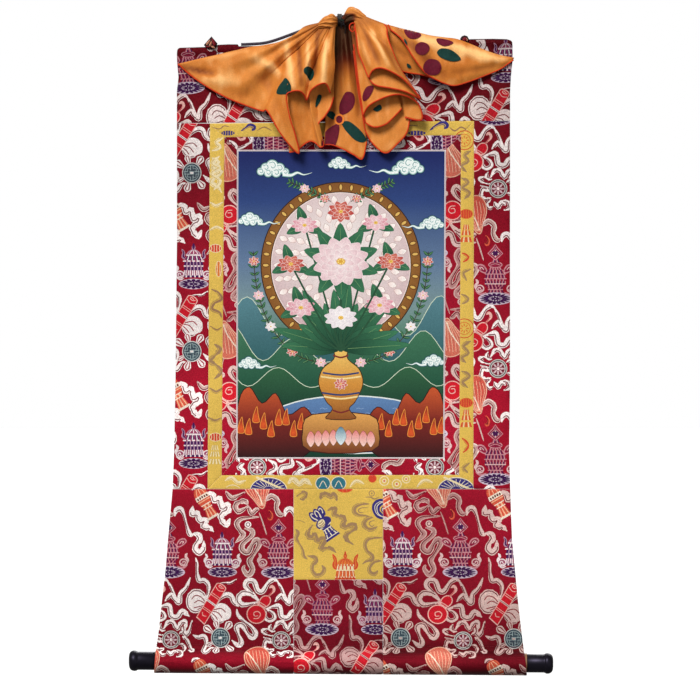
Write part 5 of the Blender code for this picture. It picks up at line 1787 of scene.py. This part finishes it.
def build_rod():
    """The wooden roller, and its two black knobs."""
    look = Look("roller_wood", Roughness=0.6)
    grain = look.noise(30, 6, 0.6, look.stretched((1, 14, 14)))
    look.show(look.mix(grain, colour(96, 62, 38), colour(158, 112, 70)), look.bump(grain, 0.0005))
    rod = root_nodes["roller"]
    rod.data.materials.clear()
    rod.data.materials.append(look.material)

    black = Look("knob_black", Roughness=0.38, Specular_IOR_Level=0.3, Specular_Tint=colour(190, 180, 215))
    streak = black.noise(90, 3, 0.6, black.stretched((0.2, 1, 1)))
    black.show(black.mix(black.noise(60, 5, 0.7), colour(8, 7, 11), colour(24, 22, 29)),
               black.bump(streak, 0.0002))
    black.set(black.shader, "Roughness", black.between(streak, 0.3, 0.5, 0.3, 0.7))
    level = math.cos(math.atan(ROLLER_SLOPE))
    profile = smooth(KNOB_PROFILE[:9], 4)[:-1] + list(KNOB_PROFILE[8:])
    for name, joint, way in (("knob_left", ROLLER_ENDS[0] - SEAM_GAP, -1), ("knob_right",
                                                                            ROLLER_ENDS[1] + SEAM_GAP, 1)):
        block = bmesh.new()
        rings = []
        for radius, reach in profile:
            x = joint + way * reach * (level if radius else 1)
            drop = ROLLER_DROP + ROLLER_SLOPE * x
            rings.append([block.verts.new(place(x, drop - radius * math.cos(angle),
                                                radius * math.sin(angle)))
                          for angle in angles(48 if radius else 1)])
        skin(block, rings)
        block_piece(f"{name}_turned", block, [black.material], "knob_black", name)


# ---------------------------------------------------------------- the silk cover
def fold_rays(name):
    """Lines from the neck over the shoulder to the hem, one for each row of the fold's table."""
    rays = []
    for number, row in enumerate(FOLDS[name]):
        start = blend(*ROOTS[name], number / (len(FOLDS[name]) - 1))
        shoulder, hem = row[:3], row[3:]
        between = EDGE_PATHS.get((name, number), (blend(start, shoulder, 0.5), shoulder))
        rays.append((start, *between, hem))
    return rays


# The way of two edges from the neck outwards: the left wing's upper one, and the one where the
# right front fold curls round.
EDGE_PATHS = {
    ("left_front", 0): ((-60, 20.6, 19), (-78, 34, 17.5), (-107, 46, 13), (-150, 54, 8),
                        (-205, 66, 6)),
    ("right_front", 5): ((52, 12.4, 22.5), (68.5, 21.6, 24), (70.5, 38, 29), (82, 69, 34.5),
                         (94, 95, 36)),
}


def wing_rays(name):
    """Lines from a wing's upper edge to its hem, with its belly between them."""
    rays = []
    for row in WINGS[name]:
        edge, hem, belly = row[:3], row[3:6], row[6]
        inner = [blend(edge, hem, share) for share in (0.33, 0.66)]
        rays.append((edge, *((x, drop, out + belly) for x, drop, out in inner), hem))
    return rays


# Creases pressed into each fold: a line from x, drop to x, drop, its width, how far it stands out,
# and the share of light left in it.
CREASES = {
    "left_front": ((-256, 85, -206, 97, 4.5, -4, 0.5), (-222, 74, -150, 60, 5, 3, 1.1),
                   (-218, 104, -176, 108, 10, 3, 1.24), (-180, 124, -146, 134, 9, -2, 0.9),
                   (-141, 70, -93, 99, 7, 4, 1.3), (-148, 94, -118, 112, 9, -3, 0.86),
                   (-128, 84, -106, 150, 8, -3, 0.88), (-108, 62, -92, 100, 6, -3, 0.84),
                   (-92, 40, -80, 118, 5, 3.5, 1.3), (-72, 40, -66, 116, 4, -3.5, 0.6),
                   (-56, 36, -56, 112, 4, 3, 1.22), (-40, 30, -46, 100, 3.6, -4, 0.52),
                   (-26, 30, -32, 112, 4.4, 3, 1.3)),
    "right_front": ((26, 34, 42, 84, 4, 2.5, 1.14), (34, 30, 58, 84, 4.5, -3, 0.62),
                    (44, 24, 74, 84, 5, 3, 1.25), (58, 40, 94, 104, 4.5, -2.5, 0.7)),
    "right_back": ((36, 16, 100, 70, 6, -2, 0.8),),
    "right_wing": ((84, 26, 160, 100, 7, -3, 0.66), (104, 34, 250, 74, 9, 3, 1.4),
                   (180, 96, 262, 80, 6, -2, 0.84)),
    "centre": ((-14, 60, -20, 200, 5, -3, 0.7), (6, 40, 8, 120, 5, 3, 1.15),
               (24, 60, 26, 160, 5, -3, 0.55)),
}
# Light left deep in the folds near the neck, and how far down them it reaches, as shares.
DEEP_SHADE = {"centre": (0.08, 0.75), "left_inner": (0.55, 0.65), "right_mouth": (0.62, 0.6),
              "right_middle": (0.55, 0.7), "right_hollow": (0.42, 0.8), "right_lobe": (0.5, 0.75),
              "right_back": (0.88, 0.5), "left_front": (0.72, 0.3), "right_front": (0.8, 0.35),
              "right_wing": (0.95, 0.3)}


def creased(name, grid):
    """How far creases stand out at each point of a fold, and the light left there."""
    depth, light = np.zeros(grid.shape[:2]), np.ones(grid.shape[:2])
    for x0, drop0, x1, drop1, width, height, left in CREASES.get(name, ()):
        start, run = np.array((x0, drop0)), np.array((x1 - x0, drop1 - drop0))
        away = grid[:, :, :2] - start
        share = np.clip(away @ run / (run @ run), 0, 1)
        gap = np.linalg.norm(away - share[..., None] * run, axis=2)
        near = np.exp(-(gap / width) ** 2) * np.sin(math.pi * np.clip(share * 0.84 + 0.08, 0, 1)) ** 0.5
        depth += height * near
        light *= 1 + (left - 1) * near
    return depth, light


def rumpled(grid, across, down, seed):
    """Smooth noise at each point of a grid."""
    return np.array([[noise.noise(Vector((x * across, drop * down, seed))) for x, drop,
                      _ in row] for row in grid])


def fold_grid(name, rays, columns, rows, pleats):
    """The middle of a fold's cloth, as rows of points in millimetres, with fine gathers."""
    grid = []
    for row in range(rows + 1):
        line_points = [along(ray, row / rows) for ray in rays]
        grid.append([along(line_points, column / columns) for column in range(columns + 1)])
    grid = np.array(grid)
    front = np.cross(np.gradient(grid, axis=0), np.gradient(grid, axis=1))
    front /= np.maximum(np.linalg.norm(front, axis=2, keepdims=True), 1e-6)
    u = np.linspace(0, 1, columns + 1)[None, :]
    v = np.linspace(0, 1, rows + 1)[:, None]
    waves = np.sin(math.tau * u * pleats + 1.3 * np.sin(6 * u))
    gather = waves * np.sin(math.pi * np.minimum(v * 1.6, 1)) * 0.7
    fine = rumpled(grid, 0.12, 0.05, 7)
    height = gather + rumpled(grid, 0.035, 0.035, 3 * pleats) * 2.2 * np.sin(math.pi * v * 0.9) + fine * 0.7
    fade = ease(v, 0, 0.15)
    depth, light = creased(name, grid)
    grid = grid + front * (height * fade)[..., None]
    grid[:, :, 2] += depth * fade * np.where(grid[:, :, 2] + depth > 3.2, 1, 0.3)
    least, reach = DEEP_SHADE[name]
    light = light * (least + (1 - least) * ease(v, reach * 0.35, reach))
    return grid, front, light * (1 + 0.1 * fine + 0.08 * gather)


def belt(circles, steps):
    """A taut loop round circles of one plane, each given by its middle and radius."""
    loop = []
    for angle in angles(steps):
        way = Vector((math.cos(angle), math.sin(angle)))
        _, middle, radius = max((Vector(middle).dot(way) + radius, middle, radius) for middle,
                                radius in circles)
        loop.append(Vector(middle) + way * radius)
    return loop


def border(grid):
    """The vertices round a grid's rim, as one closed line."""
    return [row[0] for row in grid] + grid[-1][1:] + [row[-1] for row in grid[-2::-1]] + grid[0][-2:0:-1]


def silk_look():
    look = Look("orange_silk", Roughness=0.4, Sheen_Weight=0.25, Sheen_Roughness=0.35,
                Specular_IOR_Level=0.5,
                Sheen_Tint=colour(255, 190, 110), Specular_Tint=(1, 0.6, 0.3))
    light = look.add("ShaderNodeAttribute", {"attribute_name": "shade"}).outputs["Fac"]
    cloudy = look.between(look.noise(14, 4), 0, 1, 0.3, 0.7)
    tone = look.mix(cloudy, colour(204, 114, 42), colour(222, 140, 62))
    tone = look.mix(look.between(light, 0, 1, 1, 1.25), tone, colour(232, 176, 112))
    tone = look.mix(look.between(light, 0, 1, 0.25, 0.95), colour(150, 44, 30), tone)
    grain = look.math("MULTIPLY", look.between(look.noise(560, 2, 0.7), 0.9, 1.1, 0.3, 0.7), light)
    crease = look.noise(34, 4, 0.55, look.stretched((1, 1, 0.4)), 0.6)
    first = look.bump(crease, 0.004, 0.7)
    return look.show(look.mix(1, tone, look.grey(grain), "MULTIPLY"),
                     look.bump(weave_height(look, 0.8), 0.00012, 0.6, first))


def build_cover():
    half = 0.3
    block = bmesh.new()
    shade_layer = block.verts.layers.float.new("shade")
    hems = []

    def vert(point, light):
        made = block.verts.new(place(*point))
        made[shade_layer] = light
        return made

    table = [(name, fold_rays(name), 6, 44) for name in FOLDS] + [(name, wing_rays(name), 7,
                                                                   30) for name in WINGS]
    for name, rays, fine, rows in table:
        columns = (len(rays) - 1) * fine
        middle, front, light = fold_grid(name, rays, columns, rows, 2 + len(rays) * 0.45)
        top, low = ([[vert(point, share) for point, share in zip(*row)]
                     for row in zip(middle + front * side * half, light)] for side in (1, -1))
        for face in (top, low):
            for upper, lower in zip(face, face[1:]):
                for corners in zip(upper, lower, lower[1:], upper[1:]):
                    block.faces.new(corners)
        skin(block, [border(top), border(low)])
        hems.append((middle[-1], middle[-3], front[-1]))
        for rim, inward, share in OPEN_SIDES.get(name, ()):
            start = int(rows * share)
            hems.append((middle[start:, rim], middle[start:, inward], front[start:, rim]))
    # the neck, a pleated bundle pinched where the tie goes round it
    rings = []
    lengths = 70
    for step in range(lengths + 1):
        x, drop, out, tall, deep = along(NECK, step / lengths)
        ring = []
        for angle in angles(64):
            wave = math.sin(angle * 9 + 2 * math.sin(x * 0.12))
            pleat = 1 + 0.12 * wave + 0.05 * math.sin(angle * 17 + x * 0.2)
            low = float(ease(drop - tall * math.cos(angle), -2, 4))
            light = (1 - 0.95 * math.exp(-((x - 9) / 11) ** 4) * low) * (0.92 + 0.14 * wave)
            light *= 1 - 0.7 * math.exp(-((x - WAIST_X) / 4.5) ** 2)
            ring.append(vert((x, drop - tall * pleat * math.cos(angle),
                              out + deep * pleat * math.sin(angle)), light))
        rings.append(ring)
    skin(block, rings)
    block.faces.new(rings[0][::-1])
    block.faces.new(rings[-1])
    cover = block_piece("silk_cover", block, [silk_look()], "orange_silk", "cover")
    bind(hems)
    print_cover(cover)
    build_tie()


# Sides of folds that are a hem too: the column, the one further in, and the share of the length
# from which it shows.
OPEN_SIDES = {
    "right_front": ((0, 2, 0.15), (-1, -3, 0.3)),
    "right_mouth": ((0, 2, 0.3),),
    "right_middle": ((0, 2, 0.3),),
    "right_hollow": ((0, 2, 0.4),),
    "right_lobe": ((0, 2, 0.3),),
    "right_wing": ((0, 2, 0),),
}


def bind(hems):
    """The thread round the silk's hems: a core, and a zigzag of stitches over it."""
    block = bmesh.new()
    for outer, inner, front in hems:
        tube_mesh(block, [place(*point) for point in outer], 1.2)
        zigzag = []
        for here, there, inside_point, way in zip(outer, outer[1:], inner, front):
            count = max(int(round(float(np.linalg.norm(there - here)) / 1.7)), 1)
            for step in range(count):
                point = here + (there - here) * (step / count)
                if len(zigzag) % 2:
                    inward = inside_point - here
                    point = point + inward / max(float(np.linalg.norm(inward)), 1e-6) * 2.4
                zigzag.append(place(*(point + way * 0.75)))
        if len(zigzag) > 2:
            tube_mesh(block, zigzag, 0.42, 4)
    curled = ((21, 18, 23.5), (16, 16, 25), (11, 19.4, 26), (11, 26, 26.4), (15, 30, 26), (18.4, 26.6, 25.4),
              (17, 22.4, 25.2))
    curve_tube(block, curled, 48, 1.05, 6)
    block_piece("cover_overlock", block, [thread_look("overlock", (226, 44, 18), (248, 104, 52), 1500)],
                "orange_silk")


def build_tie():
    """A few turns of cord round the silk's waist and the hanging cord, with a knot and two short ends."""
    tie = bmesh.new()
    steps = 40
    for number in range(4):
        room = SEAM_GAP + 1.1 + 0.3 * (number % 2)
        x = WAIST_X - 2.4 + number * 1.7
        loop = belt((((12.2, 13), 4.6 + room), ((1, 4.6), CORD_RADIUS + room)), steps)
        points = [place(x + 0.7 * math.sin(math.tau * step / steps), there.y, there.x) for step,
                  there in enumerate(loop)]
        tube_mesh(tie, points, 1.05, 8, closed=True)
    knot = ((-4, 12, 18.4), (-1, 9.6, 19.6), (1.2, 12.4, 20.2), (-1.2, 15.6, 20.6), (-4.4, 14.6, 20),
            (-3.4, 11, 20.2), (0.2, 12.6, 21.6), (1.6, 17, 21.8), (-0.6, 19.4, 21.6))
    curve_tube(tie, knot, 48, 1.2, 8)
    for end in (((0, 16, 21), (3, 20, 22), (4, 26, 21.4), (3, 33, 20)), ((-2, 15, 20.6), (-3, 20, 21.4),
                                                                         (-2, 25, 20.8))):
        curve_tube(tie, end, 16, 0.9, 7)
    dark = len(tie.faces)
    curve_tube(tie, ((-6, 9, 18), (-3.6, 11, 20.4), (-1, 11.6, 21.6), (1.6, 10.4, 21.2)), 16, 0.9, 7)
    tie.faces.ensure_lookup_table()
    for face in tie.faces[dark:]:
        face.material_index = 1
    looks = [thread_look("tie_cord", (12, 8, 10), (44, 32, 32), 700),
             thread_look("tie_green", (14, 34, 22), (30, 66, 42), 700)]
    block_piece("tie_wraps", tie, looks, "dark_cord", "cover_tie")


# Printed flowers of the cover, as they show from the front.
PRINTS = (
    ("maroon", ((-5, 160), (-6, 148), (-2, 136), (4, 126), (11, 125), (17, 129), (19, 138), (17, 148),
                (11, 156),
                (2, 161))),
    ("maroon", ((-9, 176), (-21, 182), (-29, 190), (-34, 202), (-34, 214), (-25, 219), (-16, 218), (-9, 202),
                (-6, 188), (-6, 180))),
    ("green", ((-2, 174), (9, 172), (23, 182), (34, 194), (37, 202), (31, 206), (19, 202), (7, 190),
               (1, 182))),
    ("green", ((-10, 169), (-19, 168), (-26, 162), (-24, 157), (-18, 156), (-13, 160))),
    ("rim", ((-14, 169), (-12, 163), (-6, 160), (0, 163), (2, 169), (0, 175), (-6, 178), (-12, 175))),
    ("maroon", ((-11, 169), (-10, 165), (-6, 163), (-2, 165), (-1, 169), (-2, 173), (-6, 175), (-10, 173))),
    ("green", ((-56, 86), (-62, 90), (-62, 96), (-58, 100), (-53, 108), (-49, 106), (-46, 98), (-48, 90))),
    ("green", ((-91, 104), (-83, 116), (-85, 128), (-97, 130), (-106, 128), (-103, 118), (-97, 110))),
    ("green", ((-39, 130), (-34, 132), (-36, 140), (-41, 148), (-44, 150), (-43, 140))),
    ("maroon", ((45, 116), (49, 118), (47, 126), (41, 136), (34, 141), (31, 136), (33, 126), (38, 118))),
    ("green", ((59, 146), (62, 152), (55, 157), (48, 154), (53, 149))),
    ("maroon", ((98, 26), (115, 28), (125, 34), (119, 40), (109, 41), (101, 36))),
    ("maroon", ((126, 46), (136, 50), (138, 58), (131, 66), (121, 66), (115, 59), (117, 50))),
    ("maroon", ((141, 73), (152, 76), (157, 86), (152, 97), (141, 99), (130, 95), (128, 85), (133, 76))),
    ("maroon", ((150, 40), (163, 41), (176, 46), (170, 51), (160, 52), (151, 47))),
    ("green", ((150, 62), (157, 56), (171, 58), (183, 66), (188, 74), (175, 77), (161, 73), (153, 68))),
    ("green", ((98, 41), (102, 46), (102, 52), (98, 48))),
    ("green", ((102, 80), (107, 82), (109, 87), (103, 86))),
)


# The prints' colours, and how deep one of their small faces may be: a deeper one lies across a fold.
PRINT_TONES = {"maroon": (104, 16, 40), "green": (12, 56, 50), "rim": (244, 132, 50)}
STEEPEST = 0.006


def print_cover(cover):
    """The printed flowers: thin patches that lie on the silk, where it is seen from the front."""
    block = bmesh.new()
    source = bmesh.new()
    source.from_mesh(cover.data)
    tree = BVHTree.FromBMesh(source)
    source.free()
    for number, (paint, points) in enumerate(PRINTS):
        lift = Vector((0, -(0.0003 + 0.00006 * number), 0))
        flat, faces, _ = partition(smooth(points, 4, closed=True), [], 1.6, ())
        verts = []
        for x, drop in flat:
            hit, normal, _, _ = tree.ray_cast(Vector((x * MM, -0.1, -drop * MM)), Vector((0, 1, 0)))
            if hit and normal.y > 0:
                normal = -normal
            verts.append(block.verts.new(hit + lift + normal * 0.0002) if hit else None)
        for face in faces:
            corners = [verts[corner] for corner in face]
            if None in corners:
                continue
            depths = [corner.co.y for corner in corners]
            if max(depths) - min(depths) > STEEPEST:
                continue
            made = block.faces.new(corners[::-1] if turned_right(flat, face) else corners)
            made.material_index = tuple(PRINT_TONES).index(paint)
    loose = [vert for vert in block.verts if not vert.link_faces]
    bmesh.ops.delete(block, geom=loose, context="VERTS")
    looks = []
    for name, tone in PRINT_TONES.items():
        look = Look(f"print_{name}", Roughness=0.5, Specular_IOR_Level=0.15)
        light = look.grey(look.between(look.noise(200), 0.8, 1.2, 0.3, 0.7))
        looks.append(look.show(look.mix(1, colour(*tone), light, "MULTIPLY"),
                               look.bump(weave_height(look, 0.8), 0.0001)))
    block_piece("cover_print", block, looks, "orange_silk", turn_faces=False)


# The tabs: name, outline, thickness, and the small folds on each, as colour number and outline.
TABS = (
    ("left", TAB_LEFT, 3, (
        (1, ((-210, 39.4), (-205, 44), (-203.4, 49), (-207, 52), (-209, 46))),
        (2, ((-219, 47.6), (-213.4, 41.6), (-212.4, 43.6), (-216.8, 50.6))),
        (2, ((-214.6, 51), (-210.8, 44), (-209.6, 45.6), (-211.8, 52.6))),
        (2, ((-209.6, 51), (-204.4, 54.2), (-206, 55.6), (-210.4, 53))),
        (1, ((-219.6, 51.4), (-213, 52.4), (-213.4, 54), (-218, 53.6))))),
    ("right", TAB_RIGHT, 2.2, (
        (1, ((190.6, 42), (193.4, 37.8), (197.2, 38.8), (197.4, 43.4), (193.6, 45))),
        (2, ((197.2, 38.4), (199.6, 41.2), (199, 44), (197.8, 42.6))))),
)


def build_tabs():
    """The two folded tabs of ribbon on the top hem."""
    looks = [thread_look(f"tab_{name}", tone, light, 500)
             for name, tone, light in (("dark", (30, 12, 14), (70, 26, 26)), ("red", (104, 10, 24),
                                                                              (150, 30, 40)),
                                       ("gold", (176, 104, 70), (226, 176, 150)))]
    base = 2.6 + SEAM_GAP
    for word, outline, thick, bits in TABS:
        block = bmesh.new()
        plates = [(0, grown(smooth(outline, 1, closed=True), -0.5 * layer), thick / 3) for layer in range(3)]
        plates += [(kind, smooth(points, 3, closed=True), 0.5) for kind, points in bits]
        low = base
        for kind, points, tall in plates:
            front, rear = ([block.verts.new(place(x, drop, out)) for x, drop in points]
                           for out in (low + tall * 0.8, low))
            for face in [block.faces.new(front), block.faces.new(rear[::-1]), *skin(block, [front, rear])]:
                face.material_index = kind
            low = min(low + tall, base + thick)
        block_piece(f"folded_tab_{word}", block, looks, "tab_ribbon", f"tab_{word}")


# ---------------------------------------------------------------- light and stage
AMBIENT = 0.2
# name, strength, the width of its disc in degrees, and the way towards it
SUNS = (
    ("key", 3.5, 24, (-0.45, -1, 0.95)),
    ("fill", 0.35, 60, (0.8, -1, 0.1)),
    ("back", 1.6, 40, (0.2, 1, 0.7)),
)


def build_stage():
    look = Look("floor", Roughness=0.9)
    look.show(look.mix(look.noise(0.8), (0.93, 0.93, 0.93), (0.96, 0.96, 0.96)))
    size, level = 40, -1.3
    mesh = bpy.data.meshes.new("floor")
    mesh.from_pydata([(x * size, y * size, level) for x, y in ((-1, -1), (1, -1), (1, 1), (-1, 1))], [],
                     [(0, 1, 2, 3)])
    floor = bpy.data.objects.new("floor", mesh)
    scene.collection.objects.link(floor)
    mesh.materials.append(look.material)
    floor.visible_diffuse = False
    floor.visible_glossy = False

    world = bpy.data.worlds.new("studio")
    world.use_nodes = True
    scene.world = world
    tree = world.node_tree
    tree.nodes.clear()
    output = tree.nodes.new("ShaderNodeOutputWorld")
    rays = tree.nodes.new("ShaderNodeLightPath")
    join = tree.nodes.new("ShaderNodeMixShader")
    for socket, tone, strength in ((1, (1, 0.985, 0.96, 1), AMBIENT), (2, (1, 1, 1, 1), 1)):
        light = tree.nodes.new("ShaderNodeBackground")
        light.inputs["Color"].default_value = tone
        light.inputs["Strength"].default_value = strength
        tree.links.new(light.outputs[0], join.inputs[socket])
    tree.links.new(rays.outputs["Is Camera Ray"], join.inputs[0])
    tree.links.new(join.outputs[0], output.inputs["Surface"])

    for name, strength, angle, way in SUNS:
        sun = bpy.data.lights.new(name, "SUN")
        sun.energy = strength
        sun.angle = math.radians(angle)
        lamp = bpy.data.objects.new(name, sun)
        lamp.rotation_euler = Vector(way).to_track_quat("Z", "Y").to_euler()
        scene.collection.objects.link(lamp)
    scene.view_settings.view_transform = "Standard"


# ---------------------------------------------------------------- the whole
def main():
    build_camera()
    build_cord()
    red = [woven_look("red_brocade", 0.55, 0.02, 0.42, 0.9, 0.1, 0.2, satin=0.15,
                      gloss_tint=(0.9, 0.1, 0.12)),
           woven_look("red_brocade_reverse", 0.75, 0.1, 0.3, 1.2, 0.1, 0.1, dull=0.7)]
    yellow = [woven_look("yellow_brocade", 0.55, 0.02, 0.24, 0.9, 0.1, 0.08, satin=0.12,
                         gloss_tint=(0.8, 0.6, 0.2)),
              woven_look("yellow_brocade_reverse", 0.75, 0.1, 0.3, 1.2, 0.1, 0.1, dull=0.7)]
    cloth = [woven_look("painted_cloth", 0.72, 0, 0.16, 0.7, 0.06, 0.05),
             woven_look("primed_cloth", 0.85, 0.1, 0.12, 0.9, 0.06, 0.08)]
    build_mount(red, yellow)
    build_frames(red, yellow)
    build_picture(cloth)
    build_piping()
    build_stitches()
    build_rod()
    build_cover()
    build_tabs()
    build_stage()


main()
